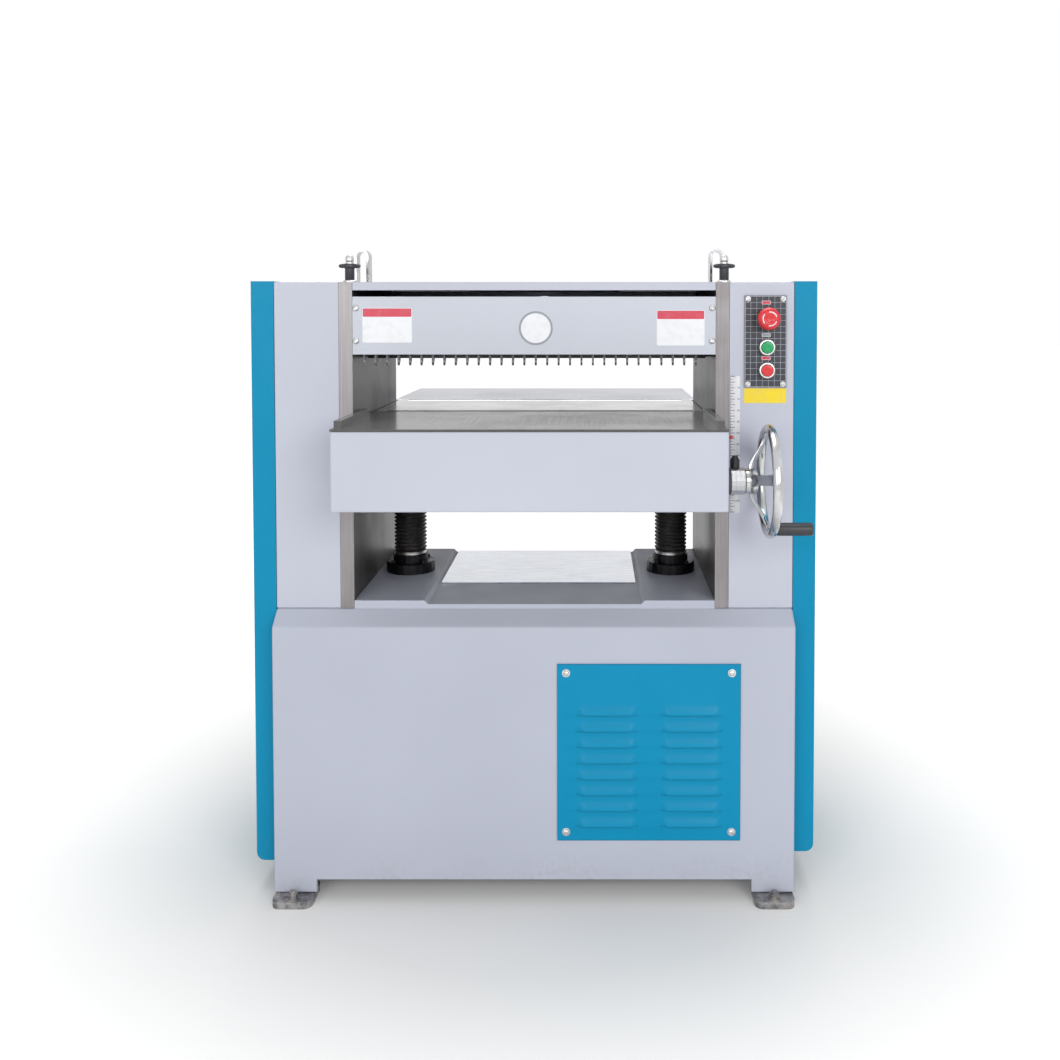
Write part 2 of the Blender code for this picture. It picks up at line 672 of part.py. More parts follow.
def louvre_panel():
    """A sheet panel with pressed louvres, each one open along its lower edge."""
    front = BASE_FRONT - TOUCH - PANEL_SHEET
    plate = block(PANEL_X, (front, BASE_FRONT - TOUCH), PANEL_Z)
    hoods = []
    hollows = []
    half = LOUVRE_LENGTH / 2
    for x in LOUVRE_COLUMNS:
        for row in range(LOUVRE_ROWS):
            bottom = LOUVRE_FIRST + row * LOUVRE_PITCH
            hoods.append(louvre_wedge(x, half, front, bottom, 0, PANEL_SHEET / 2))
            hollow_depth = PANEL_SHEET + TOUCH
            hollows.append(louvre_wedge(x, half, front, bottom, LOUVRE_SHEET, hollow_depth))
    panel = fused(plate, joined(hoods))
    panel = cut(panel, joined(hollows))
    return node("louvre_panel", panel, "teal_paint")


def louvre_wedge(x, half, front, bottom, inset, behind):
    """One louvre's curved hood, or with an inset the hollow inside it."""
    top = bottom + LOUVRE_HEIGHT - inset
    lowest = bottom - inset * 0.5
    bulge = LOUVRE_BULGE - inset
    profile = [(front + behind, lowest), (front - bulge * 0.93, lowest)]
    steps = 3
    for step in range(1, steps):
        angle = math.pi / 2 * step / steps
        height = lowest + (top - lowest) * math.sin(angle)
        profile.append((front - bulge * math.cos(angle), height))
    profile += [(front, top), (front + behind, top)]
    return prism(profile, "X", x - half + inset, x + half - inset)


def floor_plate():
    length, depth, thickness = FLOOR_PLATE_SIZE
    y = (FLOOR_PLATE_FRONT, FLOOR_PLATE_FRONT + depth)
    plate = block((-length / 2, length / 2), y, (FLOOR_TOP + TOUCH, FLOOR_TOP + TOUCH + thickness))
    return node("floor_plate", plate, "bright_steel")


# ---- Columns -----------------------------------------------------------------------------


def shaft_places():
    """Where the cutter block's bearings and the feed rollers' shafts pass the column walls."""
    yield CUT_Y, CUT_Z, BEARING_RADIUS
    yield INFEED_Y, ROLLER_Z, ROLLER_SHAFT + 0.003
    yield OUTFEED_Y, ROLLER_Z, ROLLER_SHAFT + 0.003


def column(side, name):
    """A hollow casting, open towards its side cover, with a rebate for its guide."""
    z = (COLUMN_FOOT, COLUMN_TOP)
    body = rounded(block(mirrored(side, (COLUMN_INNER, HALF_WIDTH)), (0, COLUMN_DEPTH), z), 0.002)
    cavity_y = (COLUMN_WALL, COLUMN_DEPTH - COLUMN_WALL)
    cavity_z = (COLUMN_FOOT + COLUMN_WALL, COLUMN_TOP - COLUMN_WALL)
    cavity = block(mirrored(side, (CAVITY_INNER, HALF_WIDTH + 0.02)), cavity_y, cavity_z)
    rebate_x = mirrored(side, (COLUMN_INNER - PAST, THROAT_HALF + GUIDE_FACE + TOUCH))
    rebate = block(rebate_x, (-PAST, GUIDE_THICKNESS + TOUCH), (COLUMN_FOOT - PAST, COLUMN_TOP + PAST))
    body = cut(body, cavity, rebate)
    ends = mirrored(side, (COLUMN_INNER - PAST, CAVITY_INNER + PAST))
    for y, z_axis, radius in shaft_places():
        body = cut(body, hole(radius, "X", (y, z_axis), *ends))
    stud = hole(KNOB_STUD, "Z", (side * KNOB_X, INFEED_Y), cavity_z[1] - PAST, COLUMN_TOP + PAST, 12)
    body = cut(body, stud)
    if side > 0:
        window_x = (CONTROL_X[0] + CONTROL_EDGE, CONTROL_X[1] - CONTROL_EDGE)
        window_z = (CONTROL_Z[0] + CONTROL_EDGE, CONTROL_Z[1] - CONTROL_EDGE)
        body = cut(body, block(window_x, (-PAST, 2 * COLUMN_WALL), window_z))
    return node(name, body, "grey_paint")


def guides():
    """Machined L-shaped plates down the inner front edge of each column."""
    for side, name in ((-1, "left_column_guide"), (1, "right_column_guide")):
        inner = side * THROAT_HALF
        outline = [
            (inner, 0),
            (side * (THROAT_HALF + GUIDE_FACE), 0),
            (side * (THROAT_HALF + GUIDE_FACE), GUIDE_THICKNESS),
            (side * (THROAT_HALF + GUIDE_THICKNESS), GUIDE_THICKNESS),
            (side * (THROAT_HALF + GUIDE_THICKNESS), COLUMN_DEPTH),
            (inner, COLUMN_DEPTH),
        ]
        plate = prism(outline, "Z", COLUMN_FOOT, COLUMN_TOP)
        ends = mirrored(side, (THROAT_HALF - PAST, THROAT_HALF + GUIDE_THICKNESS + 0.001))
        for y, z, radius in shaft_places():
            plate = cut(plate, hole(radius, "X", (y, z), *ends))
        rod_hole = hole(FINGER_ROD_RADIUS, "X", (FINGER_ROD_Y, FINGER_ROD_Z), *ends, 12)
        node(name, cut(plate, rod_hole), "machined_iron")


def side_cover(side, name, bottom):
    """A pressed sheet box over the drive, open towards the machine."""
    corner = COVER_CORNER
    inner = COVER_INNER
    outer = COVER_OUTER
    arc = []
    steps = 4
    for step in range(steps + 1):
        angle = math.pi / 2 * step / steps
        arc.append((outer - corner + corner * math.sin(angle), bottom + corner - corner * math.cos(angle)))
    outline = [(inner, bottom), *arc, (outer, COVER_TOP), (inner, COVER_TOP)]
    outline = [(side * x, z) for x, z in outline]
    shell = prism(outline, "Y", 0, COLUMN_DEPTH)
    hollow_z = (bottom + COVER_SHEET + corner * 0.3, COVER_TOP - COVER_SHEET)
    hollow_y = (COVER_SHEET, COLUMN_DEPTH - COVER_SHEET)
    hollow = block(mirrored(side, (inner - PAST, outer - COVER_SHEET)), hollow_y, hollow_z)
    shell = cut(shell, hollow)
    return node(name, shell, "teal_paint")


# ---- Guard, fingers, hood and top hardware -----------------------------------------------


def guard_plate():
    """The painted plate across the top of the throat, with the stiff beam on its back."""
    plate = block((-BETWEEN_GUIDES, BETWEEN_GUIDES), (0, GUARD_SHEET), GUARD_Z)
    beam = block((-BETWEEN_GUIDES, BETWEEN_GUIDES), (GUARD_SHEET / 2, BEAM_DEPTH), BEAM_Z)
    return node("front_guard_plate", fused(plate, beam), "grey_paint")


def finger_outline():
    """A finger in side view: a head round the rod, a shank and a raked tip."""
    y, z = FINGER_ROD_Y, FINGER_ROD_Z
    tip = z - FINGER_LENGTH
    return [
        (y + FINGER_EYE, z),
        (y + FINGER_EYE * 0.6, z + FINGER_EYE),
        (y - FINGER_EYE * 0.6, z + FINGER_EYE),
        (y - FINGER_EYE, z),
        (y - FINGER_EYE, tip + 0.006),
        (y - FINGER_EYE * 0.6, tip),
        (y + FINGER_EYE * 0.5, tip + 0.009),
    ]


def kickback_fingers():
    """A row of fingers on one rod that turns in the guides."""
    centre = (FINGER_ROD_Y, FINGER_ROD_Z)
    reach = THROAT_HALF + GUIDE_THICKNESS - TOUCH
    rail = rod(FINGER_ROD_RADIUS, "X", centre, -reach, reach, 8)
    fingers = []
    for number in range(FINGER_COUNT):
        x = FINGER_FIRST + number * FINGER_PITCH
        fingers.append(prism(finger_outline(), "X", x - FINGER_THICKNESS / 2, x + FINGER_THICKNESS / 2))
    pivot = (0, FINGER_ROD_Y, FINGER_ROD_Z)
    return node("kickback_fingers", fused(rail, joined(fingers)), "dark_steel", pivot)


def top_hood():
    """The sheet cover over the cutter block, hinged at its rear edge."""
    half = BETWEEN_GUIDES - TOUCH
    top = block((-half, half), (0, HOOD_REAR), (HOOD_UNDERSIDE, COLUMN_TOP))
    front_z = (COLUMN_TOP - HOOD_FRONT_DROP, COLUMN_TOP)
    hood = fused(top, block((-half, half), (0, HOOD_SHEET), front_z))
    tongue = block((-HINGE_HALF, HINGE_HALF), (HOOD_REAR - PAST, HINGE_Y), (HOOD_UNDERSIDE, COLUMN_TOP))
    centre = (HINGE_Y, HINGE_Z)
    barrel = rod(HINGE_RADIUS, "X", centre, -HINGE_HALF, HINGE_HALF, 16)
    hood = fused(hood, tongue, barrel)
    hood = cut(hood, hole(HINGE_PIN, "X", centre, -HINGE_HALF - PAST, HINGE_HALF + PAST, 12))
    return node("top_hood", hood, "grey_paint", (0, HINGE_Y, HINGE_Z))


def rear_chip_hood():
    """A sheet chute behind the cutter block with a round extraction port, and the hinge pin."""
    half = BETWEEN_GUIDES
    sheet = HOOD_SHEET
    y = CHIP_HOOD_Y
    z = (CHIP_HOOD_BOTTOM, CHIP_HOOD_TOP)
    chute = block((-half, half), y, z)
    inner_x = (-half + sheet, half - sheet)
    chute = cut(chute, block(inner_x, (y[0] - PAST, y[1] - sheet), (z[0] + sheet, z[1] - sheet)))
    for side in BOTH_SIDES:
        ends = mirrored(side, (HINGE_HALF + TOUCH, HINGE_HALF + KNUCKLE_LENGTH))
        knuckle = rod(HINGE_RADIUS, "X", (HINGE_Y, HINGE_Z), *ends, 16)
        lug_x = (ends[0] + 0.002, ends[1] - 0.002)
        bracket = block(lug_x, (y[1] - sheet / 2, HINGE_Y), (z[1] - 0.012, HINGE_Z - 0.002))
        chute = fused(chute, bracket, knuckle)
    pin_end = HINGE_HALF + KNUCKLE_LENGTH / 2
    chute = fused(chute, rod(HINGE_PIN, "X", (HINGE_Y, HINGE_Z), -pin_end, pin_end, 12))
    port = rod(PORT_RADIUS, "Y", (0, PORT_Z), y[1] - sheet / 2, y[1] + PORT_LENGTH, 24)
    chute = fused(chute, port)
    bore = rod(PORT_RADIUS - sheet, "Y", (0, PORT_Z), y[1] - 2 * sheet, y[1] + PORT_LENGTH + PAST, 24)
    chute = cut(chute, bore)
    return node("rear_chip_hood", chute, "grey_paint")


def lifting_bails():
    """Chromed inverted-U straps with turned-out feet, one on each column."""
    base = COLUMN_TOP + TOUCH
    half = BAIL_WIDTH / 2
    centre_z = BAIL_TOP - half
    steps = 8
    for side, name in ((-1, "left_lifting_bail"), (1, "right_lifting_bail")):
        outer = []
        inner = []
        for step in range(steps + 1):
            angle = math.pi * step / steps
            ray = (math.cos(angle), math.sin(angle))
            outer.append((side * BAIL_X + half * ray[0], centre_z + half * ray[1]))
            reach = half - BAIL_STRAP
            inner.append((side * BAIL_X + reach * ray[0], centre_z + reach * ray[1]))
        left = side * BAIL_X - half
        right = side * BAIL_X + half
        foot = base + BAIL_STRAP
        outline = [(right + BAIL_FOOT, base), (right + BAIL_FOOT, foot), (right, foot), *outer]
        outline += [(left, foot), (left - BAIL_FOOT, foot), (left - BAIL_FOOT, base)]
        outline += [(left + BAIL_STRAP, base), *reversed(inner), (right - BAIL_STRAP, base)]
        depth = (BAIL_Y - BAIL_DEPTH / 2, BAIL_Y + BAIL_DEPTH / 2)
        node(name, prism(outline, "Y", *depth), "chrome")


def pressure_knob(side, name):
    """A black wing knob on a stud that presses on the infeed roller's bearing block."""
    centre = (side * KNOB_X, INFEED_Y)
    block_top = ROLLER_Z + ROLLER_BLOCK + TOUCH
    collar = COLUMN_TOP + TOUCH
    collar_top = collar + KNOB_COLLAR_RISE
    hub = KNOB_TOP - KNOB_HUB_HEIGHT
    profile = [
        (0, block_top),
        (KNOB_STUD, block_top),
        (KNOB_STUD, collar),
        (KNOB_COLLAR, collar),
        (KNOB_COLLAR, collar_top),
        (KNOB_STUD, collar_top),
        (KNOB_STUD, hub),
        (KNOB_HUB, hub),
        (KNOB_HUB, KNOB_TOP),
        (0, KNOB_TOP),
    ]
    knob = turned(profile, "Z", centre, 16)
    half = KNOB_WING_SPAN / 2
    wing_z = (KNOB_TOP - KNOB_WING_HEIGHT - 0.003, KNOB_TOP - 0.003)
    wing_x = (side * KNOB_X - half, side * KNOB_X + half)
    wing = block(wing_x, (INFEED_Y - KNOB_WING / 2, INFEED_Y + KNOB_WING / 2), wing_z)
    return node(name, fused(knob, wing), "black_plastic", (side * KNOB_X, INFEED_Y, KNOB_TOP))


# ---- Control panel and scale -------------------------------------------------------------


def control_panel():
    """The push-button plate, with the collars that the buttons slide in."""
    face = -TOUCH - CONTROL_SHEET
    plate = block(CONTROL_X, (face, -TOUCH), CONTROL_Z)
    bores = []
    for name, z in BUTTON_Z.items():
        centre = (BUTTON_X, z)
        stem_bore = BUTTON_STEM + 0.001
        if name == "estop_button":
            collar = face - BEZEL_RISE * 0.7
        else:
            collar = face - BEZEL_RISE
            bores.append(hole(BUTTON_RADIUS, "Y", centre, collar - PAST, button_floor()))
        plate = fused(plate, rod(BEZEL_RADIUS, "Y", centre, collar, face + 0.001), solver="MANIFOLD")
        bores.append(rod(stem_bore, "Y", centre, collar - PAST, 0.01))
    return node("control_panel", cut(plate, *bores, solver="MANIFOLD"), "black_plastic")


def button_floor():
    """The depth of the pocket that a small button's cap moves in."""
    return -TOUCH - CONTROL_SHEET - 0.001


def buttons():
    seat = -TOUCH - CONTROL_SHEET - TOUCH
    for name, z in BUTTON_Z.items():
        centre = (BUTTON_X, z)
        if name == "estop_button":
            front = seat - ESTOP_RISE
            back = front + ESTOP_HEAD
            profile = [
                (0, front),
                (ESTOP_RADIUS * 0.6, front),
                (ESTOP_RADIUS * 0.9, front + ESTOP_HEAD * 0.2),
                (ESTOP_RADIUS, front + ESTOP_HEAD * 0.5),
                (ESTOP_RADIUS * 0.95, back),
                (BUTTON_STEM + 0.003, back),
                (BUTTON_STEM, back + 0.003),
            ]
            material = "red_plastic"
        else:
            front = seat - BEZEL_RISE - BUTTON_PROUD
            back = button_floor() - BUTTON_TRAVEL - 0.0005
            profile = [(0, front), (BUTTON_RADIUS * 0.85, front), (BUTTON_RADIUS, front + 0.0015)]
            profile += [(BUTTON_RADIUS, back), (BUTTON_STEM, back)]
            material = "green_plastic" if name == "start_button" else "red_plastic"
        profile += [(BUTTON_STEM, BUTTON_TAIL), (0, BUTTON_TAIL)]
        node(name, turned(profile, "Y", centre), material, (BUTTON_X, 0, z))


def depth_scale():
    face = (-TOUCH - SCALE_SHEET, -TOUCH)
    node("depth_scale", block(SCALE_X, face, SCALE_Z), "scale_strip")
    z = POINTER_Z
    root = APRON_HALF + TOUCH
    tip = SCALE_X[0] + 0.006
    half = POINTER_HEIGHT / 2
    outline = [(root, z - half), (SCALE_X[0], z - half * 0.7), (tip, z)]
    outline += [(SCALE_X[0], z + half * 0.7), (root, z + half)]
    pointer = prism(outline, "Y", APRON_BACK - 0.003, APRON_BACK - 0.001)
    node("depth_pointer", pointer, "red_plastic", (root, APRON_BACK, z))


# ---- Table and lift ----------------------------------------------------------------------


def table_bed():
    """The machined bed: a thin edge over the apron, thick inside it and between the columns."""
    inside = APRON_WALL + TOUCH
    edge_z = (TABLE_TOP - TABLE_LIP, TABLE_TOP)
    lap = 0.001
    front_edge = block((-APRON_HALF, APRON_HALF), (TABLE_FRONT, APRON_BACK + lap), edge_z)
    inner_x = APRON_HALF - inside
    thick_z = (BED_UNDERSIDE, TABLE_TOP)
    front = block((-inner_x, inner_x), (TABLE_FRONT + inside, APRON_BACK + 2 * lap), thick_z)
    rear = block((-BED_HALF, BED_HALF), (APRON_BACK, BED_REAR), thick_z)
    bed = fused(front_edge, front, rear, solver="MANIFOLD")
    for side in BOTH_SIDES:
        arm_x = mirrored(side, (ARM_X - ARM_WIDTH / 2, ARM_X + ARM_WIDTH / 2))
        root = BED_UNDERSIDE + 0.002
        arm_profile = [
            (ARM_FRONT, root),
            (ARM_FRONT, BED_UNDERSIDE - ARM_DEPTH),
            (ARM_REAR, BED_UNDERSIDE - ARM_DEPTH),
            (ARM_REAR, BED_UNDERSIDE - TOUCH),
            (BED_REAR - 0.001, BED_UNDERSIDE - TOUCH),
            (BED_REAR - 0.001, root),
        ]
        arm = prism(arm_profile, "X", *arm_x)
        boss = rod(BOSS_RADIUS, "Z", (side * SCREW_X, SCREW_Y), BOSS_BOTTOM, BED_UNDERSIDE + 0.002)
        strip_edge = BED_HALF - STRIP_INSET
        strip_x = mirrored(side, (strip_edge - STRIP_WIDTH, strip_edge))
        strip_y = (TABLE_FRONT + STRIP_INSET, STRIP_REAR)
        strip = block(strip_x, strip_y, (TABLE_TOP - 0.001, TABLE_TOP + STRIP_HEIGHT))
        bed = fused(bed, arm, boss, strip, solver="MANIFOLD")
        bore = hole(SCREW_RADIUS, "Z", (side * SCREW_X, SCREW_Y), BOSS_BOTTOM - PAST, BED_UNDERSIDE)
        bed = cut(bed, bore, solver="MANIFOLD")
    slot_half = BED_ROLLER_HALF + TOUCH
    for y in BED_ROLLER_Y.values():
        slot_y = (y - ROLLER_SLOT / 2, y + ROLLER_SLOT / 2)
        slot = block((-slot_half, slot_half), slot_y, (BED_UNDERSIDE - 0.005, TABLE_TOP + PAST))
        reach = BED_ROLLER_HALF + JOURNAL_LENGTH + TOUCH
        journal = hole(BED_ROLLER_JOURNAL, "X", (y, bed_roller_z()), -reach, reach, 12)
        bed = cut(bed, slot, journal, solver="MANIFOLD")
    return node("table_bed", bed, "machined_iron")


def bed_roller_z():
    return TABLE_TOP + BED_ROLLER_PROUD - BED_ROLLER_RADIUS


def bed_rollers():
    for name, y in BED_ROLLER_Y.items():
        half = BED_ROLLER_HALF
        end = half + JOURNAL_LENGTH
        profile = [
            (0, -end),
            (BED_ROLLER_JOURNAL, -end),
            (BED_ROLLER_JOURNAL, -half),
            (BED_ROLLER_RADIUS, -half),
            (BED_ROLLER_RADIUS, half),
            (BED_ROLLER_JOURNAL, half),
            (BED_ROLLER_JOURNAL, end),
            (0, end),
        ]
        roller = turned(profile, "X", (y, bed_roller_z()), 12)
        node(name, roller, "bright_steel", (0, y, bed_roller_z()))


def table_apron():
    """The painted casting round the table's front, open underneath and at the back."""
    z = (APRON_BOTTOM, APRON_TOP)
    apron = rounded(block((-APRON_HALF, APRON_HALF), (TABLE_FRONT, APRON_BACK), z), 0.003)
    inner = APRON_HALF - APRON_WALL
    hollow = block((-inner, inner), (TABLE_FRONT + APRON_WALL, APRON_BACK + PAST), (z[0] - PAST, z[1] + PAST))
    boss_hole = hole(WORM_BOSS_RADIUS, "X", (WHEEL_Y, WHEEL_Z), inner - PAST, APRON_HALF + PAST)
    return node("table_apron", cut(apron, hollow, boss_hole), "grey_paint")


def rear_extension():
    y = (BED_REAR + TOUCH, EXTENSION_REAR)
    plate = block((-EXTENSION_HALF, EXTENSION_HALF), y, (BED_UNDERSIDE, TABLE_TOP))
    return node("rear_extension", rounded(plate, 0.0015, 1), "machined_iron")


def screw_flanges():
    """Each lead screw's fixed nut: a round black flange with a neck, screwed to its pad."""
    for side, name in ((-1, "left_screw_flange"), (1, "right_screw_flange")):
        centre = (side * SCREW_X, SCREW_Y)
        bore = SCREW_RADIUS + TOUCH
        profile = [
            (bore, FLANGE_BOTTOM),
            (FLANGE_RADIUS, FLANGE_BOTTOM),
            (FLANGE_RADIUS, FLANGE_TOP - 0.002),
            (FLANGE_RADIUS - 0.002, FLANGE_TOP),
            (NECK_RADIUS, FLANGE_TOP),
            (NECK_RADIUS, NECK_TOP),
            (bore, NECK_TOP),
        ]
        flange = turned(profile, "Z", centre, 24, closed=True)
        for quarter in range(4):
            angle = math.pi / 2 * (quarter + 0.5)
            place = (
                centre[0] + FLANGE_SCREW_CIRCLE * math.cos(angle),
                centre[1] + FLANGE_SCREW_CIRCLE * math.sin(angle),
            )
            head_z = (FLANGE_TOP - 0.002, FLANGE_TOP + FLANGE_SCREW_HEAD)
            flange = fused(flange, rod(FLANGE_SCREW_RADIUS, "Z", place, *head_z, 8))
        node(name, flange, "dark_steel")


def lead_screws():
    for side, name in ((-1, "left_lead_screw"), (1, "right_lead_screw")):
        centre = (side * SCREW_X, SCREW_Y)
        profile = [
            (0, SCREW_BOTTOM),
            (SCREW_RADIUS, SCREW_BOTTOM),
            (SCREW_RADIUS, SPROCKET_BOTTOM),
            (LIFT_SPROCKET_RADIUS, SPROCKET_BOTTOM),
            (LIFT_SPROCKET_RADIUS, SPROCKET_TOP),
            (SCREW_RADIUS, SPROCKET_TOP),
            (SCREW_RADIUS, SCREW_TOP),
            (0, SCREW_TOP),
        ]
        screw = turned(profile, "Z", centre, 12)
        node(name, screw, "bright_steel", (side * SCREW_X, SCREW_Y, SPROCKET_BOTTOM))


def bellows():
    """Ribbed rubber sleeves round the lead screws, from the flange's neck to the sprocket."""
    bottom, top = BELLOWS_Z
    pitch = (top - bottom) / BELLOWS_RIBS
    for side, name in ((-1, "left_bellows"), (1, "right_bellows")):
        profile = [(BELLOWS_BORE, top), (BELLOWS_BORE, bottom), (BELLOWS_VALLEY, bottom)]
        for rib in range(BELLOWS_RIBS):
            profile.append((BELLOWS_CREST, bottom + (rib + 0.5) * pitch))
            profile.append((BELLOWS_VALLEY, bottom + (rib + 1) * pitch))
        sleeve = turned(profile, "Z", (side * SCREW_X, SCREW_Y), BELLOWS_SIDES, closed=True)
        node(name, sleeve, "black_rubber", (side * SCREW_X, SCREW_Y, bottom))


def worm_box():
    """The box behind the handwheel, with its boss through the apron's side wall."""
    centre = (WHEEL_Y, WHEEL_Z)
    half = WORM_BOX_HALF
    box_y = (max(WHEEL_Y - half, TABLE_FRONT + APRON_WALL + TOUCH), WHEEL_Y + half)
    box_z = (WHEEL_Z - half, BOSS_BOTTOM + 0.010)
    box = block(WORM_BOX_X, box_y, box_z)
    hanger = block(WORM_BOX_X, box_y, (box_z[1] - 0.002, BED_UNDERSIDE - TOUCH))
    boss = rod(WORM_BOSS_RADIUS, "X", centre, WORM_BOX_X[1] - 0.002, WORM_BOSS_END)
    box = fused(box, hanger, boss, solver="MANIFOLD")
    bore = hole(WHEEL_SHAFT, "X", centre, WORM_BOX_X[0] + WORM_BOX_FLOOR, WORM_BOSS_END + PAST)
    pocket_z = (SPROCKET_BOTTOM - 0.004, SPROCKET_TOP + 0.004)
    pocket_end = SCREW_X + LIFT_SPROCKET_RADIUS + CHAIN_THICKNESS + 0.0015
    pocket_x = (WORM_BOX_X[0] - PAST, pocket_end)
    pocket = block(pocket_x, (box_y[0] - PAST, box_y[1] + PAST), pocket_z)
    lock_z = (WHEEL_Z, WHEEL_Z + LOCK_SCREW_BORE)
    lock_hole = hole(LOCK_SCREW_RADIUS, "Z", (LOCK_SCREW_X, WHEEL_Y), *lock_z, 12)
    spindle_z = (WORM_SPINDLE_Z[0] - TOUCH, WORM_SPINDLE_Z[1] + 0.0005)
    spindle_hole = rod(WORM_SPINDLE + TOUCH, "Z", (SCREW_X, WHEEL_Y), *spindle_z, 16)
    box = cut(box, bore, pocket, lock_hole, spindle_hole, solver="MANIFOLD")
    return node("worm_box", box, "dark_steel")


def worm_sprocket():
    """The worm wheel's upright spindle and the sprocket that pulls the lift chain."""
    centre = (SCREW_X, WHEEL_Y)
    spindle = WORM_SPINDLE
    bottom, top = WORM_SPINDLE_Z
    profile = [
        (0, bottom),
        (spindle, bottom),
        (spindle, SPROCKET_BOTTOM),
        (LIFT_SPROCKET_RADIUS, SPROCKET_BOTTOM),
        (LIFT_SPROCKET_RADIUS, SPROCKET_TOP),
        (spindle, SPROCKET_TOP),
        (spindle, top),
        (0, top),
    ]
    wheel = turned(profile, "Z", centre, 12)
    return node("worm_sprocket", wheel, "dark_steel", (SCREW_X, WHEEL_Y, SPROCKET_BOTTOM))


def lift_chain():
    radius = LIFT_SPROCKET_RADIUS
    circles = [(-SCREW_X, SCREW_Y, radius), (SCREW_X, WHEEL_Y, radius), (SCREW_X, SCREW_Y, radius)]
    z = (SPROCKET_BOTTOM + 0.001, SPROCKET_TOP - 0.001)
    return node("lift_chain", loop(circles, CHAIN_THICKNESS, "Z", *z), "dark_steel")


def handwheel():
    """A dished three-spoke wheel on its shaft, with the pin that carries the grip."""
    centre = (WHEEL_Y, WHEEL_Z)
    rim_profile = []
    for step in range(RIM_FACETS):
        angle = math.tau * step / RIM_FACETS
        radius = WHEEL_RADIUS + RIM_RADIUS * math.cos(angle)
        rim_profile.append((radius, RIM_X + RIM_RADIUS * math.sin(angle)))
    wheel = turned(rim_profile, "X", centre, 32, closed=True)
    shaft_start = WORM_BOX_X[0] + WORM_BOX_FLOOR + 0.0005
    hub_profile = [
        (0, shaft_start),
        (WHEEL_SHAFT, shaft_start),
        (WHEEL_SHAFT, HUB_X[0]),
        (HUB_RADIUS, HUB_X[0]),
        (HUB_RADIUS, HUB_X[1]),
        (HUB_RADIUS * 0.7, HUB_X[1] + HUB_CROWN),
        (0, HUB_X[1] + HUB_CROWN),
    ]
    hub = turned(hub_profile, "X", centre, 24)
    wheel = fused(wheel, hub, *[spoke(number) for number in range(3)])
    pin_centre = (WHEEL_Y, WHEEL_Z - GRIP_DROP)
    pin = rod(GRIP_PIN, "X", pin_centre, RIM_X, grip_start() + GRIP_LENGTH - 0.004, 12)
    return node("handwheel", fused(wheel, pin), "chrome", (RIM_X, WHEEL_Y, WHEEL_Z))


def spoke(number):
    """A flat spoke that leans out from the hub to the rim."""
    builder = bmesh.new()
    angle = math.radians(180 - SPOKE_TILT + 120 * number)
    outward = Vector((0, math.cos(angle), math.sin(angle)))
    across = Vector((0, -math.sin(angle), math.cos(angle)))
    hub_middle = Vector((sum(HUB_X) / 2, WHEEL_Y, WHEEL_Z)) + outward * HUB_RADIUS * 0.6
    rim_middle = Vector((RIM_X, WHEEL_Y, WHEEL_Z)) + outward * WHEEL_RADIUS
    thick = Vector((SPOKE_THICKNESS / 2, 0, 0))
    ends = []
    for middle, width in ((hub_middle, SPOKE_WIDTH), (rim_middle, SPOKE_WIDTH * 0.8)):
        half = across * width / 2
        corners = [middle - half - thick, middle + half - thick, middle + half + thick, middle - half + thick]
        ends.append([builder.verts.new(corner) for corner in corners])
    builder.faces.new(ends[0])
    builder.faces.new(ends[1])
    for side in range(4):
        after = (side + 1) % 4
        builder.faces.new([ends[0][side], ends[0][after], ends[1][after], ends[1][side]])
    return scratch(builder)


def grip_start():
    return RIM_X + GRIP_STANDOFF


def handwheel_grip():
    """A grip with a blind bore for its pin."""
    centre = (WHEEL_Y, WHEEL_Z - GRIP_DROP)
    start = grip_start()
    end = start + GRIP_LENGTH
    profile = [
        (0, start),
        (GRIP_RADIUS * 0.8, start),
        (GRIP_RADIUS, start + 0.006),
        (GRIP_RADIUS, end - 0.003),
        (GRIP_RADIUS - 0.002, end),
        (0, end),
    ]
    grip = turned(profile, "X", centre, 20)
    bore = hole(GRIP_PIN, "X", centre, start - PAST, end - 0.0035, 12)
    return node("handwheel_grip", cut(grip, bore), "black_plastic", (start, *centre))


def lock_screw():
    """The small screw that clamps the handwheel's shaft in its boss."""
    centre = (LOCK_SCREW_X, WHEEL_Y)
    foot = WHEEL_Z + WHEEL_SHAFT + TOUCH
    knob = WHEEL_Z + WORM_BOSS_RADIUS + TOUCH
    profile = [
        (0, foot),
        (LOCK_SCREW_RADIUS, foot),
        (LOCK_SCREW_RADIUS, knob),
        (LOCK_SCREW_KNOB, knob),
        (LOCK_SCREW_KNOB, knob + LOCK_SCREW_RISE * 0.6),
        (LOCK_SCREW_RADIUS, knob + LOCK_SCREW_RISE),
        (0, knob + LOCK_SCREW_RISE),
    ]
    return node("lock_screw", turned(profile, "Z", centre, 12), "chrome", (*centre, knob))


# ---- Cutter block, feed rollers and their drives -----------------------------------------


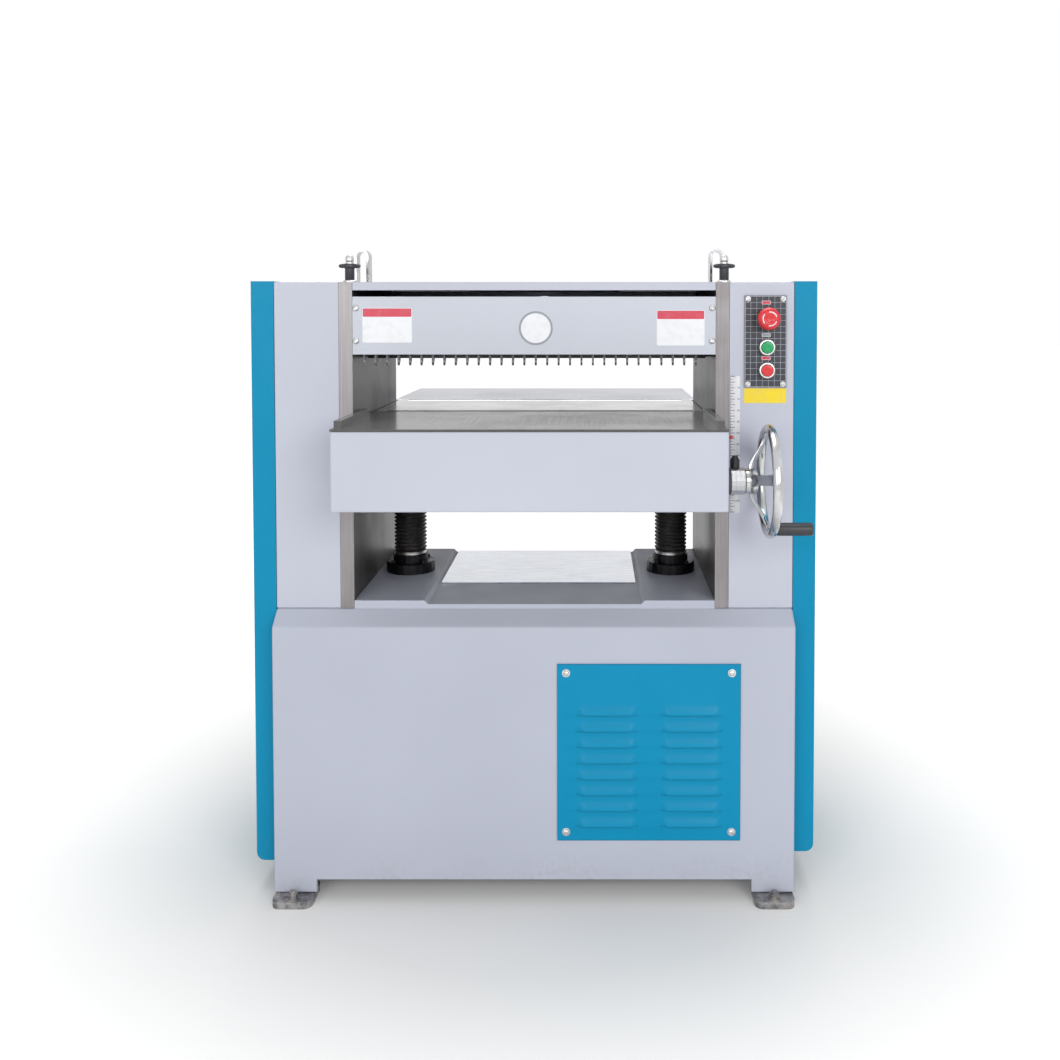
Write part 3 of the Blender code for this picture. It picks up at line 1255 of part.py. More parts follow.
def cutter_block():
    """The block with its clamped knives, its shaft and the two-groove pulley on its left end."""
    centre = (CUT_Y, CUT_Z)
    body_radius = CUT_RADIUS - KNIFE_PROUD
    profile = [(0, PULLEY_X[0]), *pulley_profile(CUT_PULLEY_RADIUS)]
    profile += [
        (CUT_SHAFT, PULLEY_X[1]),
        (CUT_SHAFT, -CUT_HALF),
        (body_radius, -CUT_HALF),
        (body_radius, CUT_HALF),
        (CUT_SHAFT, CUT_HALF),
        (CUT_SHAFT, BEARING_END),
        (0, BEARING_END),
    ]
    body = turned(profile, "X", centre, 20)
    for number in range(KNIFE_COUNT):
        angle = math.tau * (number + 0.5) / KNIFE_COUNT
        body = cut(body, knife_bar(angle, KNIFE_GROOVE, KNIFE_DEPTH / 2, 0.01, CUT_HALF + PAST))
        body = fused(body, knife_bar(angle, KNIFE_THICKNESS, KNIFE_DEPTH, 0, CUT_HALF - 0.002))
    return node("cutter_block", body, "machined_iron", (0, CUT_Y, CUT_Z))


def knife_bar(angle, thickness, depth, extra, half_length):
    """One knife, or the groove that it lies in, at an angle round the cutter block."""
    outward = (math.cos(angle), math.sin(angle))
    across = (-math.sin(angle), math.cos(angle))
    outline = []
    for radius, side in (
        (CUT_RADIUS - depth, -1),
        (CUT_RADIUS + extra, -1),
        (CUT_RADIUS + extra, 1),
        (CUT_RADIUS - depth, 1),
    ):
        offset = side * thickness / 2
        y = CUT_Y + outward[0] * radius + across[0] * offset
        outline.append((y, CUT_Z + outward[1] * radius + across[1] * offset))
    return prism(outline, "X", -half_length, half_length)


def cutter_bearings():
    for side, name in ((-1, "left_cutter_bearing"), (1, "right_cutter_bearing")):
        ends = mirrored(side, (THROAT_HALF, BEARING_END))
        housing = tube(BEARING_RADIUS, CUT_SHAFT, "X", (CUT_Y, CUT_Z), *ends, 24)
        node(name, housing, "dark_steel")


def belt_offsets():
    return (-BELT_SPACING / 2, BELT_SPACING / 2)


def pulley_profile(radius):
    """The rim of a two-groove pulley, from its outer end inwards."""
    start, end = PULLEY_X
    floor = radius - BELT_HEIGHT + PULLEY_RIM
    groove = BELT_WIDTH / 2 + TOUCH
    profile = [(radius, start)]
    for offset in belt_offsets():
        middle = PULLEY_MIDDLE + offset
        profile += [(radius, middle - groove), (floor, middle - groove)]
        profile += [(floor, middle + groove), (radius, middle + groove)]
    profile.append((radius, end))
    return profile


def motor_pulley():
    centre = (MOTOR_Y, MOTOR_Z)
    shaft_end = MOTOR_X[0] + MOTOR_SHAFT_GRIP
    profile = [(0, PULLEY_X[0]), *pulley_profile(MOTOR_PULLEY_RADIUS)]
    profile += [(MOTOR_SHAFT, PULLEY_X[1]), (MOTOR_SHAFT, shaft_end), (0, shaft_end)]
    wheel = turned(profile, "X", centre, 16)
    return node("motor_pulley", wheel, "dark_steel", (PULLEY_MIDDLE, *centre))


def drive_belt():
    """A banded pair of belts that lie in the pulleys' grooves, joined by a thin back."""
    cut_floor = CUT_PULLEY_RADIUS - BELT_HEIGHT + PULLEY_RIM
    motor_floor = MOTOR_PULLEY_RADIUS - BELT_HEIGHT + PULLEY_RIM
    grooves = [(MOTOR_Y, MOTOR_Z, motor_floor), (CUT_Y, CUT_Z, cut_floor)]
    rims = [(a, b, floor + BELT_HEIGHT - PULLEY_RIM) for a, b, floor in grooves]
    half = (BELT_SPACING + BELT_WIDTH) / 2
    belt = loop(rims, PULLEY_RIM, "X", PULLEY_MIDDLE - half, PULLEY_MIDDLE + half, steps=6)
    for offset in belt_offsets():
        middle = PULLEY_MIDDLE + offset
        ends = (middle - BELT_WIDTH / 2, middle + BELT_WIDTH / 2)
        belt = fused(belt, loop(grooves, BELT_HEIGHT - PULLEY_RIM / 2, "X", *ends, steps=6))
    return node("drive_belt", belt, "black_rubber")


def main_motor():
    """The motor on its plate and rails inside the base."""
    centre = (MOTOR_Y, MOTOR_Z)
    body = rod(MOTOR_RADIUS, "X", centre, *MOTOR_X, 20)
    foot_y = (MOTOR_Y - MOTOR_RADIUS * 0.8, MOTOR_Y + MOTOR_RADIUS * 0.8)
    feet_x = (MOTOR_X[0] + MOTOR_FOOT_INSET, MOTOR_X[1] - MOTOR_FOOT_INSET)
    feet_block = block(feet_x, foot_y, (MOUNT_PLATE_Z[1] - 0.002, MOTOR_Z))
    plate_y = (MOTOR_Y - MOTOR_RADIUS * 1.2, MOTOR_Y + MOTOR_RADIUS * 1.2)
    plate = block((MOTOR_X[0] + MOUNT_PLATE_START, MOTOR_X[1]), plate_y, MOUNT_PLATE_Z)
    walls = (BASE_FRONT + BASE_WALL + TOUCH, BASE_REAR - BASE_WALL - TOUCH)
    rails = []
    for x in feet_x:
        rail_z = (MOUNT_PLATE_Z[0] - MOUNT_RAIL, MOUNT_PLATE_Z[0] + 0.002)
        rails.append(block((x - MOUNT_RAIL / 2, x + MOUNT_RAIL / 2), walls, rail_z))
    motor = fused(body, feet_block, plate, *rails)
    bore = hole(MOTOR_SHAFT, "X", centre, MOTOR_X[0] - PAST, MOTOR_X[0] + MOTOR_BORE)
    return node("main_motor", cut(motor, bore), "motor_paint")


def feed_roller(y, name, material):
    """A feed roller with its shaft, whose right end carries the chain sprocket."""
    left_end = -BLOCK_OUTER
    start, end = FEED_SPROCKET_X
    profile = [
        (0, left_end),
        (ROLLER_SHAFT, left_end),
        (ROLLER_SHAFT, -ROLLER_HALF),
        (ROLLER_RADIUS, -ROLLER_HALF),
        (ROLLER_RADIUS, ROLLER_HALF),
        (ROLLER_SHAFT, ROLLER_HALF),
        (ROLLER_SHAFT, start),
        (FEED_SPROCKET_RADIUS, start),
        (FEED_SPROCKET_RADIUS, end),
        (0, end),
    ]
    roller = turned(profile, "X", (y, ROLLER_Z), 16)
    return node(name, roller, material, (0, y, ROLLER_Z))


def roller_carriers():
    """One casting a side that carries both feed rollers and passes below the cutter's bearing."""
    half = ROLLER_BLOCK
    low = CUT_Z - BEARING_RADIUS - TOUCH
    for side, name in ((-1, "left_roller_carrier"), (1, "right_roller_carrier")):
        x = mirrored(side, (CAVITY_INNER + TOUCH, BLOCK_OUTER))
        strap_z = (low - CARRIER_STRAP, low)
        carrier = block(x, (INFEED_Y - half, OUTFEED_Y + half), strap_z)
        for y in (INFEED_Y, OUTFEED_Y):
            bearing = block(x, (y - half, y + half), (low - CARRIER_STRAP / 2, ROLLER_Z + half))
            carrier = fused(carrier, bearing)
            bore = hole(ROLLER_SHAFT, "X", (y, ROLLER_Z), x[0] - PAST, x[1] + PAST)
            carrier = cut(carrier, bore)
        node(name, carrier, "dark_steel")


def feed_gearmotor():
    """The feed gearbox on the right column's inner wall, with its motor below."""
    start = CAVITY_INNER + TOUCH
    half = GEARBOX_HALF
    y = (GEARMOTOR_Y - half, GEARMOTOR_Y + half)
    box = block((start, start + GEARBOX_WIDTH), y, (GEARMOTOR_Z - half, GEARMOTOR_Z + half))
    motor_x = start + GEARBOX_WIDTH / 2
    low = GEARMOTOR_Z - half - FEED_MOTOR_LENGTH
    motor = rod(FEED_MOTOR_RADIUS, "Z", (motor_x, GEARMOTOR_Y), low, GEARMOTOR_Z - half + 0.002)
    bore_start = start + GEARBOX_WIDTH - GEARBOX_BORE
    bore = hole(FEED_SHAFT, "X", (GEARMOTOR_Y, GEARMOTOR_Z), bore_start, start + GEARBOX_WIDTH + PAST)
    node("feed_gearmotor", cut(fused(box, motor), bore), "motor_paint")
    profile = [
        (0, bore_start + TOUCH),
        (FEED_SHAFT, bore_start + TOUCH),
        (FEED_SHAFT, FEED_SPROCKET_X[0]),
        (FEED_SPROCKET_RADIUS, FEED_SPROCKET_X[0]),
        (FEED_SPROCKET_RADIUS, FEED_SPROCKET_X[1]),
        (0, FEED_SPROCKET_X[1]),
    ]
    sprocket = turned(profile, "X", (GEARMOTOR_Y, GEARMOTOR_Z), 24)
    node("feed_sprocket", sprocket, "dark_steel", (FEED_SPROCKET_X[0], GEARMOTOR_Y, GEARMOTOR_Z))


def feed_chain():
    centres = ((GEARMOTOR_Y, GEARMOTOR_Z), (OUTFEED_Y, ROLLER_Z), (INFEED_Y, ROLLER_Z))
    circles = [(y, z, FEED_SPROCKET_RADIUS) for y, z in centres]
    ends = (FEED_SPROCKET_X[0] + 0.001, FEED_SPROCKET_X[1] - 0.001)
    return node("feed_chain", loop(circles, CHAIN_THICKNESS, "X", *ends), "dark_steel")


def bars():
    """The chip breaker before the cutter block and the pressure bar behind it."""
    half = BETWEEN_GUIDES - TOUCH
    breaker_outline = [
        (BREAKER_Y[0], BREAKER_BOTTOM),
        (BREAKER_Y[1] - 0.006, BREAKER_BOTTOM),
        (BREAKER_Y[1], BREAKER_BOTTOM + 0.010),
        (BREAKER_Y[1], CUT_Z - CUT_RADIUS * 0.5),
        (BREAKER_Y[0] + 0.008, CUT_Z),
        (BREAKER_Y[0] + 0.008, BAR_TOP),
        (BREAKER_Y[0], BAR_TOP),
    ]
    node("chip_breaker", prism(breaker_outline, "X", -half, half), "dark_steel")
    bar_outline = [
        (PRESSURE_BAR_Y[0] + 0.004, BREAKER_BOTTOM),
        (PRESSURE_BAR_Y[1], BREAKER_BOTTOM),
        (PRESSURE_BAR_Y[1], BAR_TOP),
        (PRESSURE_BAR_Y[0] + 0.006, BAR_TOP),
        (PRESSURE_BAR_Y[0] + 0.006, BREAKER_BOTTOM + 0.020),
        (PRESSURE_BAR_Y[0], BREAKER_BOTTOM + 0.010),
    ]
    node("pressure_bar", prism(bar_outline, "X", -BETWEEN_GUIDES, BETWEEN_GUIDES), "dark_steel")


# ---- The machine -------------------------------------------------------------------------

remove_everything()
MATERIALS = make_materials()
planer = bpy.data.objects.new("planer", None)
planer.location = (0, CENTRE_SHIFT, 0)
bpy.context.scene.collection.objects.link(planer)

base_cabinet()
feet()
louvre_panel()
floor_plate()
column(-1, "left_column")
column(1, "right_column")
guides()
side_cover(-1, "left_belt_cover", LEFT_COVER_BOTTOM)
side_cover(1, "right_chain_cover", RIGHT_COVER_BOTTOM)
guard_plate()
kickback_fingers()
top_hood()
rear_chip_hood()
lifting_bails()
pressure_knob(-1, "left_pressure_knob")
pressure_knob(1, "right_pressure_knob")
control_panel()
buttons()
depth_scale()
table_bed()
bed_rollers()
table_apron()
rear_extension()
screw_flanges()
lead_screws()
bellows()
worm_box()
worm_sprocket()
lift_chain()
handwheel()
handwheel_grip()
lock_screw()
cutter_block()
cutter_bearings()
motor_pulley()
drive_belt()
main_motor()
feed_roller(INFEED_Y, "infeed_roller", "dark_steel")
feed_roller(OUTFEED_Y, "outfeed_roller", "bright_steel")
roller_carriers()
feed_gearmotor()
feed_chain()
bars()
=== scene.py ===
import math

import bmesh
import bpy
from mathutils import Matrix, Vector


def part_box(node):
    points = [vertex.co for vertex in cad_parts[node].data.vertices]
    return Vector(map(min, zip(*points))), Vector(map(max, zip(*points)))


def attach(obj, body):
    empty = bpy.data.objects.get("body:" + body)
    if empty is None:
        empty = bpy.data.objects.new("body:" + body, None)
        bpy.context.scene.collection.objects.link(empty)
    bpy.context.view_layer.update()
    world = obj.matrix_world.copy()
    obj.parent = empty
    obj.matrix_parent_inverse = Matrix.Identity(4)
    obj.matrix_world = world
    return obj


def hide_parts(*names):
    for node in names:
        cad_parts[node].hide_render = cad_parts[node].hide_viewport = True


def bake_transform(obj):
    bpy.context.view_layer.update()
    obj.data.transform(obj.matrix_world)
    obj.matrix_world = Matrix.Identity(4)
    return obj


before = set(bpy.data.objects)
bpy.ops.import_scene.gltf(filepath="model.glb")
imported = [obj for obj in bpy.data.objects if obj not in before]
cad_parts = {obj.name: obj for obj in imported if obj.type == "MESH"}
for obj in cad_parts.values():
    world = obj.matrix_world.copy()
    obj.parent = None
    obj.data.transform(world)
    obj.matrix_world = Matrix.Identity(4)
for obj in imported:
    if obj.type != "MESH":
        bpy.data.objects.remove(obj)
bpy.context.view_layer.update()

# ---- Base cabinet ----
# A welded steel box that carries both columns and is open underneath for the motor. It is
# filled, sprayed in a light lavender grey and baked; the paint is rubbed thin along the bends
# and scuffed near the floor, where the machine was dragged and swept around.


def screen_colour(red, green, blue):
    """An 8-bit colour, as seen on a screen, in the linear values that a shader takes."""
    shares = []
    for level in (red, green, blue):
        share = level / 255
        shares.append(share / 12.92 if share <= 0.04045 else ((share + 0.055) / 1.055) ** 2.4)
    return (*shares, 1.0)


def add(tree, kind, inputs=None, **settings):
    """A new shader node. Its inputs go by name or number, each a value or a socket to link."""
    shader_node = tree.nodes.new(kind)
    for name, value in settings.items():
        setattr(shader_node, name, value)
    for name, value in (inputs or {}).items():
        if isinstance(value, bpy.types.NodeSocket):
            tree.links.new(value, shader_node.inputs[name])
        else:
            shader_node.inputs[name].default_value = value
    return shader_node


def shader_group(name, inputs, outputs):
    """An empty node group with named sockets, and its two end nodes."""
    group = bpy.data.node_groups.new(name, "ShaderNodeTree")
    for label, value in inputs.items():
        kind = "NodeSocketFloat"
        if isinstance(value, tuple):
            kind = "NodeSocketColor" if len(value) == 4 else "NodeSocketVector"
        socket = group.interface.new_socket(label, in_out="INPUT", socket_type=kind)
        socket.default_value = value
    for label, kind in outputs.items():
        group.interface.new_socket(label, in_out="OUTPUT", socket_type="NodeSocket" + kind)
    return group, group.nodes.new("NodeGroupInput"), group.nodes.new("NodeGroupOutput")


def ranged(tree, value, low, high, to_low=0.0, to_high=1.0):
    """A value's share of the way from low to high, put between two other values."""
    limits = {"From Min": low, "From Max": high, "To Min": to_low, "To Max": to_high}
    return add(tree, "ShaderNodeMapRange", {"Value": value, **limits}).outputs["Result"]


def worked(tree, operation, first, second):
    return add(tree, "ShaderNodeMath", {0: first, 1: second}, operation=operation).outputs[0]


def mixed(tree, share, first, second):
    """Two colours mixed by a share from 0 to 1."""
    sockets = {0: share, 6: first, 7: second}
    return add(tree, "ShaderNodeMix", sockets, data_type="RGBA").outputs[2]


def noise(tree, place, scale, detail=2.0, roughness=0.5):
    sockets = {"Vector": place, "Scale": scale, "Detail": detail, "Roughness": roughness}
    return add(tree, "ShaderNodeTexNoise", sockets).outputs[0]


def on_the_piece(tree):
    """Coordinates in metres that stay with the piece when it moves."""
    return add(tree, "ShaderNodeTexCoord").outputs["Object"]


def make_edge_wear():
    """Finds a piece's edges, and where the finish on them is rubbed off in patches."""
    inputs = {"Width": 0.0015, "Patches": 45.0, "Amount": 0.7}
    group, given, result = shader_group("edge wear", inputs, {"Mask": "Float", "Normal": "Vector"})
    edge = add(group, "ShaderNodeBevel", {"Radius": given.outputs["Width"]}, samples=4)
    surface = add(group, "ShaderNodeNewGeometry")
    directions = {0: edge.outputs["Normal"], 1: surface.outputs["Normal"]}
    alike = add(group, "ShaderNodeVectorMath", directions, operation="DOT_PRODUCT")
    bent = ranged(group, alike.outputs["Value"], 0.985, 0.82)
    patch = noise(group, on_the_piece(group), given.outputs["Patches"], 4.0)
    rubbed = worked(group, "MULTIPLY", bent, ranged(group, patch, 0.44, 0.60))
    rubbed = worked(group, "MULTIPLY", rubbed, given.outputs["Amount"])
    group.links.new(rubbed, result.inputs["Mask"])
    group.links.new(edge.outputs["Normal"], result.inputs["Normal"])
    return group


def make_sprayed_coat():
    """Sprayed enamel: a slightly cloudy colour with the fine peel of a sprayed surface."""
    inputs = {"Colour": (0.5, 0.5, 0.5, 1.0), "Cloud": 0.03, "Peel": 420.0, "Gloss": 0.38}
    outputs = {"Colour": "Color", "Roughness": "Float", "Height": "Float"}
    group, given, result = shader_group("sprayed coat", inputs, outputs)
    place = on_the_piece(group)
    cloud = ranged(group, noise(group, place, 3.0, 3.0), 0.3, 0.7, -1.0, 1.0)
    level = worked(group, "ADD", worked(group, "MULTIPLY", cloud, given.outputs["Cloud"]), 1.0)
    sockets = {0: given.outputs["Colour"], "Scale": level}
    coat = add(group, "ShaderNodeVectorMath", sockets, operation="SCALE")
    haze = ranged(group, noise(group, place, 22.0, 5.0), 0.3, 0.7, -0.05, 0.07)
    group.links.new(coat.outputs[0], result.inputs["Colour"])
    group.links.new(worked(group, "ADD", haze, given.outputs["Gloss"]), result.inputs["Roughness"])
    group.links.new(noise(group, place, given.outputs["Peel"], 2.0), result.inputs["Height"])
    return group


def make_floor_scuffs():
    """Grime and scuffs that fade out above a height."""
    inputs = {"Top": 0.09, "Grain": 130.0, "Amount": 0.6}
    group, given, result = shader_group("floor scuffs", inputs, {"Mask": "Float"})
    place = on_the_piece(group)
    height = add(group, "ShaderNodeSeparateXYZ", {0: place}).outputs["Z"]
    low = ranged(group, worked(group, "DIVIDE", height, given.outputs["Top"]), 1.0, 0.0)
    specks = ranged(group, noise(group, place, given.outputs["Grain"], 6.0, 0.7), 0.46, 0.62)
    drift = ranged(group, noise(group, place, 9.0, 3.0), 0.40, 0.65)
    mask = worked(group, "MULTIPLY", worked(group, "MULTIPLY", low, specks), drift)
    mask = worked(group, "MULTIPLY", mask, given.outputs["Amount"])
    group.links.new(mask, result.inputs["Mask"])
    return group


EDGE_WEAR = make_edge_wear()
SPRAYED_COAT = make_sprayed_coat()
FLOOR_SCUFFS = make_floor_scuffs()


def new_material(name, **sockets):
    """A material with the shader's plain sockets set, its node tree and its shader."""
    material = bpy.data.materials.new(name)
    material.use_nodes = True
    shader = material.node_tree.nodes["Principled BSDF"]
    for label, value in sockets.items():
        shader.inputs[label.replace("_", " ")].default_value = value
    return material, material.node_tree, shader


def use(tree, group, **inputs):
    """A node group placed in a material with its own values."""
    placed = add(tree, "ShaderNodeGroup", node_tree=group)
    for label, value in inputs.items():
        placed.inputs[label].default_value = value
    return placed.outputs


def raised(tree, shader, height, distance, normal=None, strength=0.35):
    """Feeds a height to the shader as a bump, over the rounded edges where those are given."""
    sockets = {"Height": height, "Distance": distance, "Strength": strength}
    bump = add(tree, "ShaderNodeBump", sockets)
    if normal is not None:
        tree.links.new(normal, bump.inputs["Normal"])
    tree.links.new(bump.outputs["Normal"], shader.inputs["Normal"])


def enamel(name, colour, under, gloss=0.42, wear=0.5, scuffs=0.5, top=0.09, rounding=0.0015):
    """Sprayed enamel that shows what is under it along the edges and in the low scuffs."""
    material, tree, shader = new_material(name, Specular_IOR_Level=0.18)
    coat = use(tree, SPRAYED_COAT, Colour=colour, Gloss=gloss)
    edges = use(tree, EDGE_WEAR, Amount=wear, Width=rounding)
    low = use(tree, FLOOR_SCUFFS, Amount=scuffs, Top=top)
    bare = worked(tree, "MAXIMUM", edges["Mask"], low["Mask"])
    tree.links.new(mixed(tree, bare, coat["Colour"], under), shader.inputs["Base Color"])
    dull = worked(tree, "ADD", coat["Roughness"], worked(tree, "MULTIPLY", bare, 0.25))
    tree.links.new(dull, shader.inputs["Roughness"])
    raised(tree, shader, coat["Height"], 0.0004, edges["Normal"], 0.12)
    return material


def dress(material, *nodes):
    """Gives CAD nodes their finish."""
    for name in nodes:
        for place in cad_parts[name].material_slots:
            place.material = material


# The base's grey is set a little darker than the same paint on the columns, as painted shade on
# the lower part of the machine.
BASE_SHADED_ENAMEL = enamel("grey enamel", screen_colour(188, 192, 206), screen_colour(150, 150, 156))
dress(BASE_SHADED_ENAMEL, "base_cabinet")

# ---- Feet ----
# Four steel plates welded under the corners of the base, each held down by an anchor bolt with
# a washer. They are dipped in zinc, and chalky where cement and floor paint have dried on them.


def make_dipped_zinc():
    material, tree, shader = new_material("dipped zinc", Metallic=0.8)
    place = on_the_piece(tree)
    spangle = add(tree, "ShaderNodeTexVoronoi", {"Vector": place, "Scale": 170.0})
    chalk = ranged(tree, noise(tree, place, 60.0, 6.0, 0.65), 0.42, 0.60)
    dark, bright = screen_colour(104, 103, 106), screen_colour(142, 142, 146)
    zinc = mixed(tree, spangle.outputs["Color"], dark, bright)
    colour = mixed(tree, chalk, zinc, screen_colour(172, 169, 167))
    edges = use(tree, EDGE_WEAR, Amount=0.6, Width=0.0012)
    colour = mixed(tree, edges["Mask"], colour, screen_colour(120, 108, 98))
    tree.links.new(colour, shader.inputs["Base Color"])
    tree.links.new(ranged(tree, chalk, 0.0, 1.0, 0.28, 0.6), shader.inputs["Roughness"])
    raised(tree, shader, noise(tree, place, 240.0, 4.0), 0.0008, edges["Normal"], 0.5)
    return material


DIPPED_ZINC = make_dipped_zinc()
dress(DIPPED_ZINC, "front_left_foot", "front_right_foot", "rear_left_foot", "rear_right_foot")

# ---- Louvred panel ----
# A sheet of steel with pressed louvres that closes the window to the motor. It is sprayed teal
# and held by four round-head screws, each over a plated washer.

TEAL_UNDERCOAT = screen_colour(70, 140, 160)
LOUVRE_TEAL = screen_colour(0, 141, 184)
LOUVRE_FINISH = {"gloss": 0.34, "wear": 0.3, "scuffs": 0.0, "rounding": 0.004}
LOUVRE_ENAMEL = enamel("louvre enamel", LOUVRE_TEAL, TEAL_UNDERCOAT, **LOUVRE_FINISH)


def make_zinc_plate():
    """Bright zinc plating, as on screws and washers."""
    material, tree, shader = new_material("bright zinc plate", Metallic=1.0)
    place = on_the_piece(tree)
    film = noise(tree, place, 160.0, 4.0)
    edges = use(tree, EDGE_WEAR, Amount=0.5, Width=0.0004, Patches=260.0)
    clean, dulled = screen_colour(214, 214, 216), screen_colour(178, 177, 172)
    colour = mixed(tree, ranged(tree, film, 0.35, 0.7), clean, dulled)
    colour = mixed(tree, edges["Mask"], colour, screen_colour(240, 240, 240))
    tree.links.new(colour, shader.inputs["Base Color"])
    tree.links.new(ranged(tree, film, 0.3, 0.7, 0.24, 0.44), shader.inputs["Roughness"])
    raised(tree, shader, film, 0.0002, edges["Normal"])
    return material


ZINC_PLATE = make_zinc_plate()
FACING_FRONT = Matrix.Rotation(math.radians(90), 4, "X")
FACING_REAR = Matrix.Rotation(math.radians(-90), 4, "X")
FACING_RIGHT = Matrix.Rotation(math.radians(90), 4, "Y")
FACING_UP = Matrix.Identity(4)


def lathe(builder, profile, place, facing=FACING_UP, sides=24, ring=False):
    """Turns (radius, height) points about an axis that starts at place and runs along facing."""
    to_place = Matrix.Translation(place) @ facing
    rows = []
    for radius, height in profile:
        if radius < 1e-6:
            rows.append([builder.verts.new(to_place @ Vector((0, 0, height)))])
            continue
        row = []
        for side in range(sides):
            angle = math.tau * side / sides
            point = Vector((radius * math.cos(angle), radius * math.sin(angle), height))
            row.append(builder.verts.new(to_place @ point))
        rows.append(row)
    pairs = list(zip(rows, rows[1:]))
    if ring:
        pairs.append((rows[-1], rows[0]))
    for lower, upper in pairs:
        for side in range(sides):
            after = (side + 1) % sides
            if len(lower) == 1 and len(upper) == 1:
                continue
            if len(lower) == 1:
                builder.faces.new((lower[0], upper[side], upper[after]))
            elif len(upper) == 1:
                builder.faces.new((lower[side], upper[0], lower[after]))
            else:
                builder.faces.new((lower[side], lower[after], upper[after], upper[side]))


def finished(name, builder, material, body, sharp=35.0):
    """Makes a piece of a finished shape, smooth between its sharp edges, and lets it ride."""
    bmesh.ops.recalc_face_normals(builder, faces=builder.faces)
    mesh = bpy.data.meshes.new(name)
    builder.to_mesh(mesh)
    builder.free()
    mesh.materials.append(material)
    mesh.shade_smooth()
    mesh.set_sharp_from_angle(angle=math.radians(sharp))
    piece = bpy.data.objects.new(name, mesh)
    bpy.context.scene.collection.objects.link(piece)
    if body:
        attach(piece, body)
    return piece


def joined(builder, rows, first_end=True, last_end=True):
    """Faces between outlines of as many corners each, and over the first and the last."""
    for lower, upper in zip(rows, rows[1:]):
        for corner in range(len(lower)):
            after = (corner + 1) % len(lower)
            builder.faces.new((lower[corner], lower[after], upper[after], upper[corner]))
    if first_end:
        builder.faces.new(list(reversed(rows[0])))
    if last_end:
        builder.faces.new(rows[-1])


panel_low, panel_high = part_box("louvre_panel")
LOUVRE_PANEL_LEFT, _, LOUVRE_PANEL_BOTTOM = panel_low
LOUVRE_PANEL_RIGHT, LOUVRE_PANEL_BACK, LOUVRE_PANEL_TOP = panel_high
LOUVRE_SHEET = 0.0022
LOUVRE_PANEL_FACE = LOUVRE_PANEL_BACK - LOUVRE_SHEET
LOUVRE_MIDDLES = (0.1285, 0.2765)
LOUVRE_HALF = 0.0535
LOUVRE_END = 0.016  # over which a louvre sinks back into the sheet at each end
LOUVRE_DEPTH = 0.0062
LOUVRE_LIPS = [0.133 + row * 0.0282 for row in range(8)]
LOUVRE_CUT = 0.0005  # height of the slit's step under a lip
LOUVRE_RISE = 0.018
LOUVRE_STEPS = 8


def pressed_out(x, z):
    """How far the sheet stands out at a point, in a louvre that closes smoothly above its lip."""
    for middle in LOUVRE_MIDDLES:
        inwards = (LOUVRE_HALF - abs(x - middle)) / LOUVRE_END
        for lip in LOUVRE_LIPS:
            up = (z - lip) / LOUVRE_RISE
            if inwards > 0 and 0 <= up < 1:
                along = math.sin(min(1.0, inwards) * math.pi / 2) ** 1.3
                return LOUVRE_DEPTH * along * math.cos(up * math.pi / 2) ** 1.5
    return 0.0


across_marks = [LOUVRE_PANEL_LEFT, LOUVRE_PANEL_RIGHT]
for middle in LOUVRE_MIDDLES:
    for end in (-1, 1):
        for step in range(LOUVRE_STEPS + 1):
            across_marks.append(middle + end * (LOUVRE_HALF - LOUVRE_END * step / LOUVRE_STEPS))
up_marks = [LOUVRE_PANEL_BOTTOM, LOUVRE_PANEL_TOP]
for lip in LOUVRE_LIPS:
    up_marks.append(lip - LOUVRE_CUT)
    up_marks += [lip + LOUVRE_RISE * step / LOUVRE_STEPS for step in range(LOUVRE_STEPS + 1)]
across_marks.sort()
up_marks.sort()
sheet = bmesh.new()
sheet_rows = []
for z in up_marks:
    outwards = [pressed_out(x, z + 1e-6) for x in across_marks]
    points = [(x, LOUVRE_PANEL_FACE - out, z) for x, out in zip(across_marks, outwards)]
    sheet_rows.append([sheet.verts.new(point) for point in points])
SLIT_MARKS = {round(lip - LOUVRE_CUT, 6) for lip in LOUVRE_LIPS}
for number, (lower, upper) in enumerate(zip(sheet_rows, sheet_rows[1:])):
    at_a_slit = round(up_marks[number], 6) in SLIT_MARKS
    for column in range(len(across_marks) - 1):
        corners = (lower[column], lower[column + 1], upper[column + 1], upper[column])
        middle_x = (across_marks[column] + across_marks[column + 1]) / 2
        under_lip = at_a_slit and pressed_out(middle_x, up_marks[number + 1]) > 0
        sheet.faces.new(corners).material_index = 1 if under_lip else 0
rim = [*sheet_rows[0], *(row[-1] for row in sheet_rows[1:])]
rim += [*reversed(sheet_rows[-1][:-1]), *(row[0] for row in reversed(sheet_rows[1:-1]))]
behind = [sheet.verts.new((corner.co.x, LOUVRE_PANEL_BACK, corner.co.z)) for corner in rim]
joined(sheet, (rim, behind), first_end=False)
pressed_panel = finished(
    "pressed_louvre_panel", sheet, LOUVRE_ENAMEL, "frame", 50.0
)
# The step under each louvre's lip is painted a very dark teal, as painted shade in the slit.
SLIT_SHADE_COLOUR, SLIT_SHADE_UNDER = screen_colour(0, 40, 56), screen_colour(10, 30, 40)
SLIT_SHADE_ENAMEL = enamel("louvre shade", SLIT_SHADE_COLOUR, SLIT_SHADE_UNDER, gloss=0.8, wear=0.0, scuffs=0.0)
pressed_panel.data.materials.append(SLIT_SHADE_ENAMEL)
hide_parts("louvre_panel")


def round_head(builder, place, facing, radius, height, sides=20):
    """A domed screw head with a countersunk recess for the driver."""
    dome = [(1, 0), (1, 0.3), (0.93, 0.6), (0.74, 0.87), (0.48, 1)]
    recess = [(0.40, 0.93), (0.30, 0.45), (0, 0.40)]
    profile = [(radius * out, height * up) for out, up in dome + recess]
    lathe(builder, profile, place, facing, sides)


